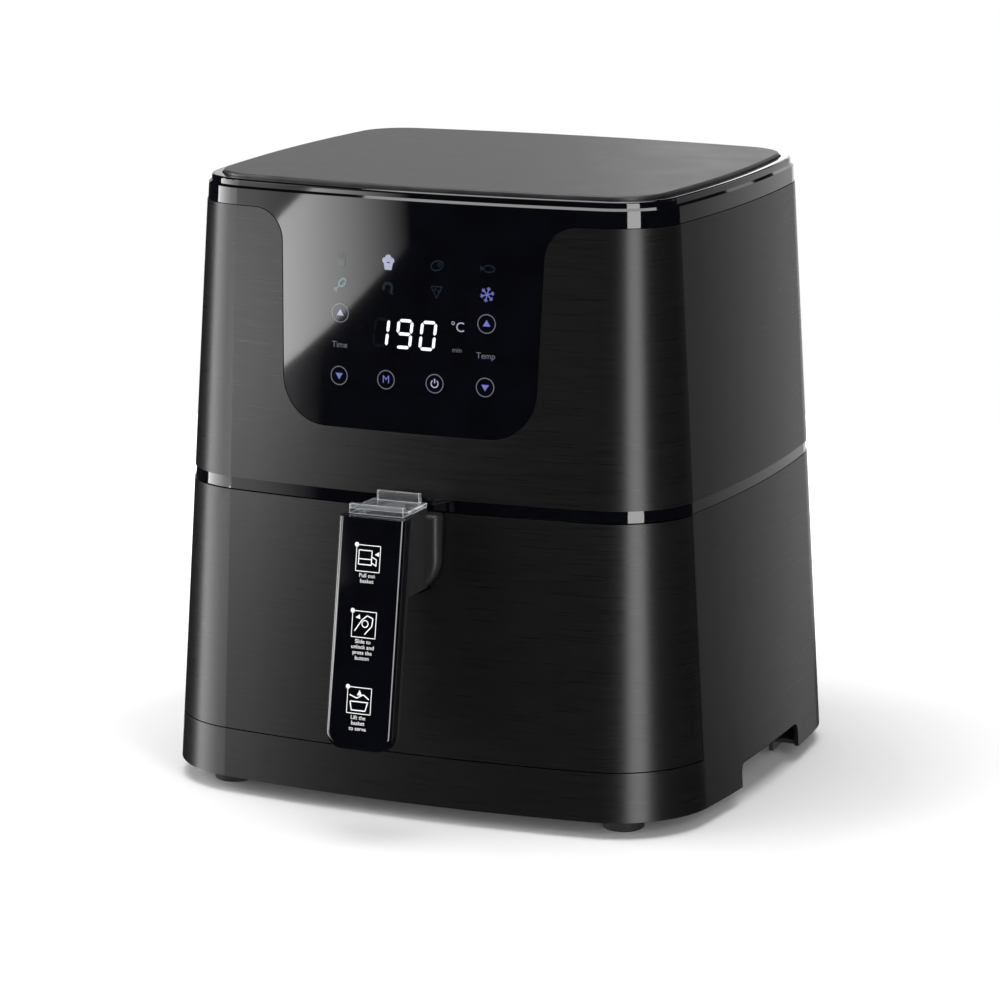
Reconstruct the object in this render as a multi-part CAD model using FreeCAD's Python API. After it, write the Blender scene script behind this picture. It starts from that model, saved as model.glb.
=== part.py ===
import FreeCAD, Part
import math
import os
from FreeCAD import Vector

# Air fryer with a slide-out basket drawer. Millimetres, z up, the front towards -Y, feet on z = 0.
# Everything is drawn about the vertical axis of the housing and moved in Y on export, so that the
# origin lies under the middle of the whole outline, handle included.

# Housing outline at floor level: four bowed sides joined by round corners, leaning inward with height.
body_width = 310.0
body_depth = 276.4
side_bow_radius = 785.0
corner_radius = 54.0
draft = 0.06
shell_wall = 2.4

# Heights of the layers, from the floor up.
foot_height = 9.0
sill_height = 25.6
drawer_height = 127.8
trim_height = 6.1
upper_height = 141.6
band_height = 9.6
panel_height = 5.3
rim_height = 3.4

# Clearances.
seam_gap = 0.6
joint_gap = 0.3
slide_gap = 0.35
bearing_gap = 0.05
fit_gap = 0.1
flange_gap = 0.2
cut_margin = 1.0

# Fascia tongue on the front of the upper shell.
tongue_half_top = 73.4
tongue_half_bottom = 70.2
tongue_drop = 109.0
tongue_shoulder_radius = 17.0
tongue_corner_radius = 25.0
tongue_shoulder_flat = 5.0
fascia_recess = 0.4
fascia_wall = 2.6
band_chamfer = 1.2
ledge_wall = 2.4
ledge_inset = 20.0
trim_recess = 0.6
trim_wall = 3.0
rim_inset = 1.8
rim_width = 5.0
rim_round = 1.5
panel_gap = 1.0
panel_round = 1.2

# Hand notches in the lower edge of the two sides.
grip_length = 86.0
grip_height = 13.6
grip_center_y = 3.0
grip_radius = 6.0
grip_reach = 14.0
grip_tray_gap = 3.0

# Base tray, feet and screws.
tray_wall = 2.4
skirt_inset = 15.0
skirt_wall = 2.2
skirt_drop = 4.6
skirt_notch = 5.5
skirt_pitch = 23.5
foot_radius = 12.0
foot_taper = 1.4
foot_side_inset = 43.0
foot_front_inset = 35.2
foot_rear_inset = 46.2
foot_spigot = 4.0
foot_round = 1.2
foot_barb = 0.8
foot_barb_height = 3.0
foot_room = 2.0
post_radius = 6.0
post_side_gap = 20.0
post_front_gap = 31.0
post_rear_gap = 30.0
screw_radius = 1.8
screw_head_radius = 4.0
screw_head_height = 2.4
screw_length = 14.0
screw_end_gap = 2.0
screw_slot = 1.0

# Drawer front and the frame behind it.
drawer_wrap = 54.0
front_box_depth = 28.2
drawer_wall = 2.6
back_wall = 2.5
frame_wall = 2.0
frame_setback = 1.0
sill_overlap = 8.0

# Steel liner, runners and pan.
side_air_gap = 23.5
rear_air_gap = 15.7
liner_wall = 1.2
liner_rise = 3.4
liner_radius = 12.0
liner_overtop = 3.5
liner_front_gap = 1.5
runner_x = 70.0
runner_width = 12.0
runner_height = 6.5
runner_round = 2.5
runner_end = 12.0
pan_clear = 3.2
pan_rear_clear = 4.8
pan_lip = 3.0
pan_wall = 1.4
pan_rim_drop = 12.4
pan_taper = 5.0
pan_corner = 38.0
pan_bottom_round = 9.0
pan_lip_gap = 0.5

# Basket, grate and bracket.
basket_clear = 4.0
basket_wall = 1.2
basket_ledge = 8.0
basket_lip = 1.5
drip_space = 14.0
grate_wall = 1.4
grate_slot = 8.8
grate_pitch = 17.0
grate_margin = 16.0
grate_web = 10.0
bracket_half = 15.0
bracket_wall = 1.7
bracket_drop = 26.0
bracket_flange = 15.0
bracket_hook = 5.0
rivet_radius = 2.0
rivet_head = 4.5
rivet_head_height = 1.5
rivet_boss = 5.5
rivet_tail = 4.0
rivet_tail_height = 1.5
rivet_corner_gap = 11.6
rivet_low = 46.0
rivet_high = 16.0

# Notch in the drawer front, neck and handle.
notch_half = 24.0
notch_depth = 44.0
notch_radius = 20.0
bezel_wall = 1.4
bezel_proud = 0.6
neck_proud = 6.0
neck_round = 3.0
neck_corner = 2.0
neck_overlap = 4.0
arm_half = 15.0
arm_bottom = 3.0
handle_width = 36.8
handle_length = 117.3
handle_tilt = 9.27
handle_rise = 2.0
handle_standoff = 38.0
cover_depth = 8.0
cover_round = 3.2
cover_corner = 9.0
grip_back_depth = 9.0
grip_back_inset = 1.4
grip_back_round = 4.0
handle_screw_radius = 1.5
handle_screw_head = 3.0
handle_screw_drop = 62.0
handle_screw_pitch = 34.0
handle_screw_sink = 3.0
handle_screw_head_height = 2.2
handle_screw_bite = 4.5
grip_overrun = 12.0

# Guard, button, latch bolt and spring.
guard_half = 15.0
guard_length = 28.0
guard_wall = 2.2
guard_front_rib = 3.0
guard_rear_rib = 5.0
guard_rear_half = 11.8
guard_rib_wall = 2.5
guard_offset = 3.6
guard_travel = 14.0
guard_leg_wall = 2.0
guard_leg_length = 9.0
guard_leg_half = 13.2
guard_leg_drop = 3.0
guard_toe = 1.0
guard_round = 0.7
button_radius = 6.4
button_height = 5.4
button_back = 8.0
button_round = 0.8
button_travel = 3.5
stem_radius = 3.0
stem_half = 3.0
wedge_lead = 1.0
window_gap = 0.8
spring_height = 11.0
spring_radius = 4.5
spring_wire = 0.45
spring_turns = 5
bolt_half = 4.6
bolt_height = 5.4
bolt_drop = 35.0
bolt_nose = 3.1
bolt_front_wall = 4.0

# Fan chamber, element and guard grille.
dome_edge = 0.5
dome_wall = 1.2
dome_height = 50.0
dome_round = 12.0
dome_hole = 12.0
dome_flange = 1.0
riser_gap = 0.5
element_tube = 3.2
element_wall_gap = 18.0
element_pitch = 20.0
element_rise = 16.0
element_bend = 10.0
element_top = 14.0
element_gap_angle = 14.0
collar_radius = 6.0
collar_height = 8.0
guard_rings = 4
guard_ring_width = 2.4
guard_spokes = 8
guard_overlap = 2.0
guard_eye = 14.0
guard_outer_width = 7.0

# Motor, shaft and fans.
shaft_radius = 4.0
fan_element_gap = 9.0
fan_height = 14.0
fan_blades = 8
fan_sheet = 1.2
fan_hub = 10.0
fan_above_element = 8.0
fan_lead = 22.0
fan_plate_share = 0.72
blade_root = 1.5
blade_sweep = 0.35
cooler_radius = 46.0
cooler_height = 12.0
cooler_blades = 9
cooler_hub = 13.0
cooler_wall = 1.6
cooler_lead = 28.0
cooler_gap = 4.0
bracket_plate = 2.0
bracket_leg = 14.0
bracket_leg_radius = 5.0
bracket_leg_angles = (-30.0, 210.0, 270.0)
bracket_rear_gap = 15.0
bracket_over_fan = 3.0
bracket_leg_inset = 10.0
motor_radius = 24.0
motor_length = 44.0
motor_seat = 16.0
motor_cone = 6.0
motor_end = 13.0
motor_round = 2.0
motor_end_round = 1.5
shaft_end = 2.0
stack_size = 62.0
stack_height = 20.0
stack_corner = 7.0
stack_rise = 10.0
nut_width = 13.0
nut_height = 6.5

# Electronics, vent, gland and switch.
board_offset = 9.0
board_wall = 1.6
board_half = 58.0
board_height = 96.0
board_boss = 3.5
board_boss_inset = 5.0
board_rise = 8.0
processor_half = 9.0
processor_low = 14.0
processor_length = 18.0
processor_height = 2.4
socket_left = -40.0
socket_width = 18.0
socket_low = 12.0
socket_length = 8.0
socket_height = 7.4
display_half = 26.0
display_height = 20.0
display_depth = 6.5
display_rise = 49.0
pad_radius = 4.0
pad_pitch = 27.2
pad_rows = (-23.0, 10.0, 24.0, 37.0)
power_offset = 26.0
power_half = 48.0
power_height = 66.0
power_below_band = 82.0
power_boss = 4.0
power_boss_inset = 6.0
transformer_y = -24.0
transformer_width = 24.0
transformer_low = 14.0
transformer_length = 28.0
transformer_height = 20.0
relay_y = 8.0
relay_width = 20.0
relay_low = 12.0
relay_length = 16.0
relay_height = 15.0
capacitor_radius = 6.0
capacitor_y = 30.0
capacitor_low = 26.0
capacitor_height = 18.0
inductor_radius = 8.0
inductor_low = 46.0
inductor_height = 11.0
plug_row_width = 62.0
plug_row_drop = 11.0
plug_row_length = 7.0
plug_row_height = 9.0
vent_half = 46.0
vent_height = 48.0
vent_slots = 7
vent_slot_height = 3.0
vent_flange = 4.0
vent_flange_wall = 1.8
vent_columns = 3
vent_margin = 3.0
vent_web = 3.9
duct_half = 40.0
duct_height = 30.0
duct_wall = 1.5
duct_rise = 18.0
duct_port_inset = 1.0
gland_x = 70.0
gland_z = 30.0
gland_bore = 3.6
gland_radius = 6.8
gland_flange = 9.0
gland_flange_height = 3.0
gland_length = 14.0
switch_width = 8.0
switch_length = 20.0
switch_height = 16.0
switch_below_trim = 62.0
peg_radius = 3.0
peg_gap = 0.5
plunger_end_gap = 0.5
plunger_radius = 1.6
plunger_length = 8.0
plunger_out = 2.2
plunger_travel = 0.8
probe_radius = 2.5
probe_below = 24.0
probe_above = 12.0
probe_collar = 3.0
probe_edge = 23.4
probe_angle = -30.0
cutout_radius = 8.0
cutout_height = 8.0
cutout_flange_half = 12.0
cutout_flange_width = 8.0
tab_wall = 0.8
tab_width = 6.0
tab_length = 8.0
tab_pitch = 9.0
switch_tab_pitch = 5.0
switch_tab_width = 4.0
switch_tab_length = 6.0
cutout_edge = 31.5
cutout_angle = 208.0

# Levels and places that follow from the dimensions above.
z_base = foot_height
z_sill = z_base + sill_height
z_trim = z_sill + drawer_height
z_upper = z_trim + trim_height
z_band = z_upper + upper_height
z_ledge = z_band + band_height
z_top = z_ledge + panel_height
z_drawer_low = z_sill + seam_gap
z_drawer_high = z_trim - seam_gap


def half_x(z, inset=0.0):
    return body_width / 2 - draft * z - inset


def half_y(z, inset=0.0):
    return body_depth / 2 - draft * z - inset


seam_y = drawer_wrap - body_depth / 2
back_front_y = front_box_depth - body_depth / 2
back_rear_y = back_front_y + back_wall
liner_half = half_x(z_upper, shell_wall + side_air_gap)
liner_rear = half_y(z_upper, shell_wall + rear_air_gap)
liner_front = back_rear_y + liner_front_gap
liner_floor = z_sill + liner_rise
liner_top = z_upper + liner_overtop
runner_top = liner_floor + liner_wall + runner_height
pan_low = runner_top + joint_gap
pan_high = z_trim - pan_rim_drop
pan_half = liner_half - liner_wall - pan_clear - pan_lip
pan_front = back_rear_y + pan_lip_gap + pan_lip
pan_rear = liner_rear - liner_wall - pan_rear_clear - pan_lip
axis_y = (pan_front + pan_rear) / 2
pan_half_y = (pan_rear - pan_front) / 2
foot_x = body_width / 2 - foot_side_inset
foot_front_y = foot_front_inset - body_depth / 2
foot_rear_y = body_depth / 2 - foot_rear_inset
post_x = foot_x - post_side_gap
post_front_y = foot_front_y + post_front_gap
post_rear_y = foot_rear_y - post_rear_gap
rivet_x = pan_half - pan_corner - rivet_corner_gap
dome_radius = axis_y - liner_front - dome_edge
element_outer = dome_radius - element_wall_gap
element_inner = element_outer - element_pitch
fan_radius = element_inner - fan_element_gap
bracket_radius = fan_radius + bracket_over_fan
bracket_reach = bracket_radius - bracket_leg_inset
basket_low = pan_low + drip_space
grate_low = basket_low + basket_wall
grate_shrink = pan_wall + basket_clear + basket_wall + joint_gap
grate_shrink += pan_taper * (pan_high - grate_low) / (pan_high - pan_low)
grate_half = pan_half - grate_shrink
grate_half_y = pan_half_y - grate_shrink
basket_rim = pan_high + joint_gap
bracket_z = basket_rim + pan_wall + joint_gap
notch_low = z_trim - notch_depth
handle_top = z_trim + handle_rise
handle_front_y = -half_y(handle_top) - handle_standoff
guard_z = handle_top + slide_gap
guard_rear_y = -half_y(guard_z) - guard_offset
guard_front_y = guard_rear_y - guard_length
button_y = guard_rear_y - button_back
plug_front_y = -half_y(z_trim - notch_depth / 2) - neck_proud
bolt_z = handle_top - bolt_drop
spring_top = handle_top - button_height - joint_gap
spring_low = spring_top - spring_height
flange_z = liner_top + flange_gap
dome_top = flange_z + dome_height
element_z = flange_z + element_rise
fan_z = element_z + fan_above_element
plate_z = dome_top + bracket_leg
motor_top = plate_z + bracket_plate + motor_length
cooler_z = motor_top + cooler_gap
peg_x = liner_half + joint_gap + switch_width / 2
switch_z = z_trim - switch_below_trim
frame_y = seam_y + frame_setback
duct_z = flange_z + duct_rise
tongue_low = z_band - tongue_drop


# Basic shapes.
def box(x0, x1, y0, y1, z0, z1):
    return Part.makeBox(x1 - x0, y1 - y0, z1 - z0, Vector(x0, y0, z0))


def rod_x(radius, y, z, x0, x1):
    return Part.makeCylinder(radius, x1 - x0, Vector(x0, y, z), Vector(1, 0, 0))


def rod_y(radius, x, z, y0, y1):
    return Part.makeCylinder(radius, y1 - y0, Vector(x, y0, z), Vector(0, 1, 0))


def rod_z(radius, x, y, z0, z1):
    return Part.makeCylinder(radius, z1 - z0, Vector(x, y, z0), Vector(0, 0, 1))


def joined(shapes):
    return shapes[0].fuse(shapes[1:]).removeSplitter()


# A closed outline through corners (u, v, radius), with a tangent arc at each rounded corner.
def rounded_wire(corners, place):
    starts = []
    ends = []
    mids = []
    count = len(corners)
    for i in range(count):
        u, v, r = corners[i]
        pu, pv = corners[i - 1][:2]
        nu, nv = corners[(i + 1) % count][:2]
        back = math.hypot(pu - u, pv - v)
        ahead = math.hypot(nu - u, nv - v)
        a = ((pu - u) / back, (pv - v) / back)
        b = ((nu - u) / ahead, (nv - v) / ahead)
        half = math.acos(a[0] * b[0] + a[1] * b[1]) / 2
        reach = r / math.tan(half)
        bis = math.hypot(a[0] + b[0], a[1] + b[1])
        depth = r / math.sin(half) - r
        starts.append(place(u + a[0] * reach, v + a[1] * reach))
        ends.append(place(u + b[0] * reach, v + b[1] * reach))
        mids.append(place(u + (a[0] + b[0]) / bis * depth, v + (a[1] + b[1]) / bis * depth))
    edges = []
    for i in range(count):
        if corners[i][2] > 0:
            edges.append(Part.Arc(starts[i], mids[i], ends[i]).toShape())
        following = starts[(i + 1) % count]
        if (following - ends[i]).Length > 1e-6:
            edges.append(Part.LineSegment(ends[i], following).toShape())
    return Part.Wire(edges)


def on_x(x):
    return lambda u, v: Vector(x, u, v)


def on_y(y):
    return lambda u, v: Vector(u, y, v)


def on_z(z):
    return lambda u, v: Vector(u, v, z)


def prism(corners, place, direction):
    return Part.Face(rounded_wire(corners, place)).extrude(direction)


def rectangle(half_u, v0, v1, radius):
    return [(-half_u, v0, radius), (half_u, v0, radius), (half_u, v1, radius), (-half_u, v1, radius)]


# Housing outline: concentric arcs, so an inset or the draft only changes their radii.
def housing_arcs():
    front = (0.0, side_bow_radius - body_depth / 2)
    right = (body_width / 2 - side_bow_radius, 0.0)
    dx = right[0] - front[0]
    dy = right[1] - front[1]
    span = math.hypot(dx, dy)
    lift = math.sqrt((side_bow_radius - corner_radius) ** 2 - (span / 2) ** 2)
    cx = (front[0] + right[0]) / 2 - lift * dy / span
    cy = (front[1] + right[1]) / 2 + lift * dx / span
    f = math.atan2(cx - front[0], front[1] - cy)
    s = math.atan2(-cy, cx - right[0])
    q = math.pi / 2
    big = side_bow_radius
    small = corner_radius
    return [(front, big, -q - f, -q + f), ((cx, cy), small, -q + f, -s),
            (right, big, -s, s), ((cx, -cy), small, s, q - f),
            ((0.0, -front[1]), big, q - f, q + f), ((-cx, -cy), small, q + f, 2 * q - s),
            ((-right[0], 0.0), big, 2 * q - s, 2 * q + s), ((-cx, cy), small, 2 * q + s, 3 * q - f)]


def outline(inset, z):
    edges = []
    for center, radius, start, stop in housing_arcs():
        r = radius - inset - draft * z
        points = []
        for angle in (start, (start + stop) / 2, stop):
            points.append(Vector(center[0] + r * math.cos(angle), center[1] + r * math.sin(angle), z))
        edges.append(Part.Arc(points[0], points[1], points[2]).toShape())
    return Part.Wire(edges)


# A layer of the housing between two heights; a second inset gives it a chamfered or leaning side.
def layer(inset, z0, z1, top_inset=None):
    end = inset if top_inset is None else top_inset
    return Part.makeLoft([outline(inset, z0), outline(end, z1)], True, True)


def ring(inset, wall, z0, z1):
    return layer(inset, z0, z1).cut(layer(inset + wall, z0, z1))


# Rounds the edges at one height that follow the housing outline at the given inset.
def round_top(shape, radius, inset, z):
    path = outline(inset, z)
    picked = []
    for edge in shape.Edges:
        middle = edge.valueAt((edge.FirstParameter + edge.LastParameter) / 2)
        if abs(middle.z - z) < 0.01 and Part.Vertex(middle).distToShape(path)[0] < 0.05:
            picked.append(edge)
    return shape.makeFillet(radius, picked)


# Housing.
def tongue_prism(grow):
    wide = tongue_half_top + tongue_shoulder_radius + tongue_shoulder_flat
    top = z_ledge + cut_margin
    edge = z_band - grow
    low = tongue_low - grow
    shoulder = tongue_shoulder_radius - grow
    corner = tongue_corner_radius + grow
    corners = [(-wide, top, 0), (wide, top, 0), (wide, edge, 0), (tongue_half_top + grow, edge, shoulder),
               (tongue_half_bottom + grow, low, corner), (-tongue_half_bottom - grow, low, corner),
               (-tongue_half_top - grow, edge, shoulder), (-wide, edge, 0)]
    return prism(corners, on_y(-body_depth), Vector(0, body_depth, 0))


def lower_shell():
    shell = ring(0.0, shell_wall, z_base, z_trim)
    shell = shell.cut(box(-body_width, body_width, -body_depth, seam_y, z_sill, z_trim + cut_margin))
    sill = layer(shell_wall / 2, z_sill - shell_wall, z_sill)
    sill = sill.common(box(-body_width, body_width, -body_depth, liner_front + sill_overlap, 0, z_trim))
    shell = shell.fuse(sill)
    low = z_base - grip_height
    corners = [(grip_center_y - grip_length / 2, low, 0), (grip_center_y + grip_length / 2, low, 0),
               (grip_center_y + grip_length / 2, z_base + grip_height, grip_radius),
               (grip_center_y - grip_length / 2, z_base + grip_height, grip_radius)]
    shell = shell.cut(prism(corners, on_x(-body_width), Vector(2 * body_width, 0, 0)))
    hole = rod_y(gland_radius + fit_gap, gland_x, gland_z, 0, body_depth)
    return shell.cut(hole).removeSplitter()


def foot_places():
    return [(foot_x, foot_front_y), (-foot_x, foot_front_y), (foot_x, foot_rear_y), (-foot_x, foot_rear_y)]


def post_places():
    return [(post_x, post_front_y), (-post_x, post_front_y), (post_x, post_rear_y), (-post_x, post_rear_y)]


def base_tray():
    inset = shell_wall + joint_gap
    plate = layer(inset, z_base, z_base + tray_wall)
    for side in (-1, 1):
        inner = half_x(z_base, inset) - grip_reach
        outer = body_width
        low, high = sorted((side * inner, side * outer))
        reach_y = grip_length / 2 + grip_tray_gap
        plate = plate.cut(box(low, high, grip_center_y - reach_y, grip_center_y + reach_y, 0, z_sill))
    skirt = ring(skirt_inset, skirt_wall, skirt_drop, z_base)
    notches = []
    reach = int(body_width / 2 / skirt_pitch)
    for k in range(-reach, reach + 1):
        x = (k + 0.5) * skirt_pitch
        notches.append(box(x - skirt_notch / 2, x + skirt_notch / 2, -body_depth, body_depth, 0, z_base))
    for side in (-1, 1):
        low, high = sorted((side * (body_width / 2 - corner_radius), side * body_width))
        half = grip_length / 2
        notches.append(box(low, high, grip_center_y - half, grip_center_y + half, 0, z_base))
    for x, y in foot_places():
        notches.append(rod_z(foot_radius + foot_room, x, y, 0, z_base))
    tray = plate.fuse([skirt.cut(notches)])
    tray = tray.fuse([rod_z(post_radius, x, y, z_base, liner_floor) for x, y in post_places()])
    holes = [rod_z(foot_spigot + fit_gap, x, y, 0, z_sill) for x, y in foot_places()]
    screw_top = z_base + screw_length + screw_end_gap
    holes += [rod_z(screw_radius + fit_gap, x, y, 0, screw_top) for x, y in post_places()]
    return tray.cut(holes).removeSplitter()


def rubber_feet():
    feet = []
    for x, y in foot_places():
        low = foot_radius - foot_taper
        neck = z_base + tray_wall
        tip = neck + foot_barb_height
        profile = [(0, 0, 0), (low, 0, foot_round), (foot_radius, z_base, 0), (foot_spigot, z_base, 0),
                   (foot_spigot, neck, 0), (foot_spigot + foot_barb, neck, 0),
                   (foot_spigot - foot_barb, tip, 0), (0, tip, 0)]
        foot = Part.Face(rounded_wire(profile, on_y(0))).revolve(Vector(0, 0, 0), Vector(0, 0, 1), 360)
        foot.translate(Vector(x, y, 0))
        feet.append(foot)
    return Part.makeCompound(feet)


def base_screws():
    screws = []
    for x, y in post_places():
        head = rod_z(screw_head_radius, x, y, z_base - screw_head_height, z_base)
        r = screw_head_radius
        half = screw_slot / 2
        slot = box(x - r, x + r, y - half, y + half, 0, z_base - screw_head_height + screw_slot)
        screws.append(head.fuse(rod_z(screw_radius, x, y, z_base, z_base + screw_length)).cut(slot))
    return Part.makeCompound(screws)


def trim_ring():
    return ring(trim_recess, trim_wall, z_trim, z_upper)


def power_boss_places():
    places = []
    z0 = z_band - power_below_band
    for y in (-power_half + power_boss_inset, power_half - power_boss_inset):
        for z in (z0 + power_boss_inset, z0 + power_height - power_boss_inset):
            places.append((y, z))
    return places


def power_face_x():
    return half_x(z_band, shell_wall + power_offset)


def vent_low():
    return duct_z + duct_height / 2 - vent_height / 2


def upper_shell():
    shell = ring(0.0, shell_wall, z_upper, z_band - joint_gap)
    shell = shell.cut(tongue_prism(joint_gap))
    window = box(-vent_half, vent_half, 0, body_depth, vent_low(), vent_low() + vent_height)
    shell = shell.cut(window)
    near = power_face_x() + board_wall
    bosses = [rod_x(power_boss, y, z, near, body_width) for y, z in power_boss_places()]
    inside = layer(shell_wall / 2, z_upper, z_band - joint_gap)
    bosses = [boss.common(inside) for boss in bosses]
    return shell.fuse(bosses).removeSplitter()


def board_plane_y(z):
    return -half_y(z, fascia_recess + fascia_wall + board_offset)


def board_low():
    return tongue_low + board_rise


def board_boss_places():
    side = board_half - board_boss_inset
    places = []
    for x in (-side, side):
        for z in (board_low() + board_boss_inset, board_low() + board_height - board_boss_inset):
            places.append((x, z))
    return places


# Leaning slab parallel to the front wall, between two depths behind the inside of the fascia.
def leaning_slab(x0, x1, z0, z1, near, far):
    corners = []
    for z, depth in ((z0, near), (z1, near), (z1, far), (z0, far)):
        corners.append((-half_y(z, fascia_recess + fascia_wall + depth), z, 0))
    return prism(corners, on_x(x0), Vector(x1 - x0, 0, 0))


def control_fascia():
    crown = z_ledge - band_chamfer
    body = layer(fascia_recess, tongue_low - cut_margin, crown)
    body = body.fuse(layer(fascia_recess, crown, z_ledge, fascia_recess + band_chamfer))
    keep = tongue_prism(0.0).fuse(box(-body_width, body_width, -body_depth, body_depth, z_band, z_top))
    fascia = body.common(keep)
    fascia = fascia.cut(layer(fascia_recess + fascia_wall, tongue_low - 2 * cut_margin, z_ledge - ledge_wall))
    fascia = fascia.cut(layer(ledge_inset, z_band, z_top))
    bosses = []
    for x, z in board_boss_places():
        bosses.append(rod_y(board_boss, x, z, -body_depth, 0))
    limit = leaning_slab(-body_width, body_width, tongue_low, z_ledge - ledge_wall, -cut_margin, board_offset)
    shell = layer(fascia_recess + fascia_wall / 2, tongue_low, z_ledge)
    bosses = [boss.common(limit).common(shell) for boss in bosses]
    return fascia.fuse(bosses).removeSplitter()


def top_rim():
    high = z_ledge + rim_height
    hollow = layer(rim_inset + rim_width, z_ledge - cut_margin, high + cut_margin)
    body = layer(rim_inset, z_ledge, high).cut(hollow)
    return round_top(body, rim_round, rim_inset, high)


def top_panel():
    inset = rim_inset + rim_width + panel_gap
    return round_top(layer(inset, z_ledge, z_top), panel_round, inset, z_top)


def rear_grille():
    low = vent_low()
    high = low + vent_height
    gap = joint_gap
    edge = vent_flange
    plate = ring(joint_gap, shell_wall, low - 2 * edge, high + 2 * edge)
    window = box(-vent_half + gap, vent_half - gap, 0, body_depth, low + gap, high - gap)
    flange = ring(shell_wall + flange_gap, vent_flange_wall, low - 2 * edge, high + 2 * edge)
    flange = flange.common(box(-vent_half - edge, vent_half + edge, 0, body_depth, low - edge, high + edge))
    plate = plate.common(window).fuse(flange)
    slots = []
    pitch = vent_height / (vent_slots + 1)
    column = 2 * (vent_half - vent_margin) / vent_columns
    half = (column - vent_web) / 2
    for k in range(vent_slots):
        z0 = low + (k + 1) * pitch - vent_slot_height / 2
        for n in range(vent_columns):
            x = (n - (vent_columns - 1) / 2) * column
            slots.append(box(x - half, x + half, 0, body_depth, z0, z0 + vent_slot_height))
    return plate.cut(slots).removeSplitter()


def exhaust_duct():
    low = duct_z
    high = duct_z + duct_height
    tube = box(-duct_half, duct_half, axis_y, body_depth, low, high)
    tube = tube.cut(box(-duct_half + duct_wall, duct_half - duct_wall, axis_y, body_depth,
                        low + duct_wall, high - duct_wall))
    tube = tube.cut(rod_z(dome_radius + flange_gap, 0, axis_y, low - cut_margin, high + cut_margin))
    inset = shell_wall + flange_gap + vent_flange_wall + joint_gap
    return tube.common(layer(inset, low - cut_margin, high + cut_margin)).removeSplitter()


def cavity_liner():
    high = liner_top
    corners = [(-liner_half, liner_floor, liner_radius), (liner_half, liner_floor, liner_radius),
               (liner_half, high, 0), (-liner_half, high, 0)]
    inner = liner_radius - liner_wall
    hollow = [(-liner_half + liner_wall, liner_floor + liner_wall, inner),
              (liner_half - liner_wall, liner_floor + liner_wall, inner),
              (liner_half - liner_wall, high + cut_margin, 0),
              (-liner_half + liner_wall, high + cut_margin, 0)]
    length = liner_rear - liner_front
    solid = prism(corners, on_y(liner_front), Vector(0, length, 0))
    return solid.cut(prism(hollow, on_y(liner_front), Vector(0, length - liner_wall, 0)))


def front_frame():
    plate = box(-body_width, body_width, frame_y, frame_y + frame_wall, z_sill, z_trim)
    plate = plate.common(layer(shell_wall + joint_gap, z_sill, z_trim))
    wide = liner_half + joint_gap
    low = liner_floor - joint_gap
    opening = [(-wide, low, liner_radius), (wide, low, liner_radius),
               (wide, z_trim + cut_margin, 0), (-wide, z_trim + cut_margin, 0)]
    near = frame_y - cut_margin
    far = frame_y + frame_wall + cut_margin
    plate = plate.cut(prism(opening, on_y(near), Vector(0, far - near, 0)))
    return plate.cut(rod_y(peg_radius + peg_gap, peg_x, switch_z, near, far))


def pan_runners():
    runners = []
    for side in (-1, 1):
        x = side * runner_x
        low = liner_floor + liner_wall
        left = x - runner_width / 2
        right = x + runner_width / 2
        corners = [(left, low, 0), (right, low, 0), (right, runner_top, runner_round),
                   (left, runner_top, runner_round)]
        length = 2 * (pan_half_y - runner_end)
        runners.append(prism(corners, on_y(pan_front + runner_end), Vector(0, length, 0)))
    return Part.makeCompound(runners)


# Fan chamber: pressed dome with a square flange on the liner.
def air_dome():
    r = dome_radius
    w = dome_wall
    profile = [(r - w, flange_z, 0), (r, flange_z, 0), (r, dome_top, dome_round), (dome_hole, dome_top, 0),
               (dome_hole, dome_top - w, 0), (r - w, dome_top - w, dome_round - w)]
    dome = Part.Face(rounded_wire(profile, on_y(0))).revolve(Vector(0, 0, 0), Vector(0, 0, 1), 360)
    dome.translate(Vector(0, axis_y, 0))
    wide = liner_half + dome_flange
    flange = box(-wide, wide, liner_front, liner_rear + dome_flange, flange_z, flange_z + w)
    flange = flange.cut(rod_z(r - w, 0, axis_y, flange_z - cut_margin, flange_z + w + cut_margin))
    dome = dome.fuse(flange)
    high = dome_top + cut_margin
    holes = [rod_z(element_tube + riser_gap, x, y, flange_z, high) for x, y in riser_places()]
    probe = polar(dome_radius - probe_edge, probe_angle, 0)
    holes.append(rod_z(probe_radius + flange_gap, probe.x, probe.y, flange_z + w, high))
    port = duct_half - duct_wall - duct_port_inset
    holes.append(box(-port, port, axis_y, body_depth,
                     duct_z + duct_wall, duct_z + duct_height - duct_wall))
    return dome.cut(holes).removeSplitter()


def element_guard():
    high = flange_z
    low = high - dome_wall
    outer = dome_radius + guard_overlap
    pieces = []
    for k in range(guard_rings + 1):
        r = outer - k * (outer - guard_eye) / guard_rings
        wide = guard_outer_width if k == 0 else guard_ring_width
        pieces.append(rod_z(r, 0, axis_y, low, high).cut(rod_z(r - wide, 0, axis_y, low, high)))
    for k in range(guard_spokes):
        half = guard_ring_width / 2
        spoke = box(guard_eye - half, outer - guard_ring_width, -half, half, low, high)
        spoke.rotate(Vector(0, 0, 0), Vector(0, 0, 1), k * 360.0 / guard_spokes)
        spoke.translate(Vector(0, axis_y, 0))
        pieces.append(spoke)
    return joined(pieces)


def polar(radius, angle, z):
    a = math.radians(angle)
    return Vector(radius * math.cos(a), axis_y + radius * math.sin(a), z)


# Two rings joined by a return bend; both ends turn up beside the gap at the rear.
def riser_places():
    places = []
    for radius in (element_outer, element_inner):
        angle = 90.0 + element_gap_angle
        start = polar(radius, angle, 0)
        a = math.radians(angle)
        places.append((start.x + element_bend * math.sin(a), start.y - element_bend * math.cos(a)))
    return places


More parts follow.
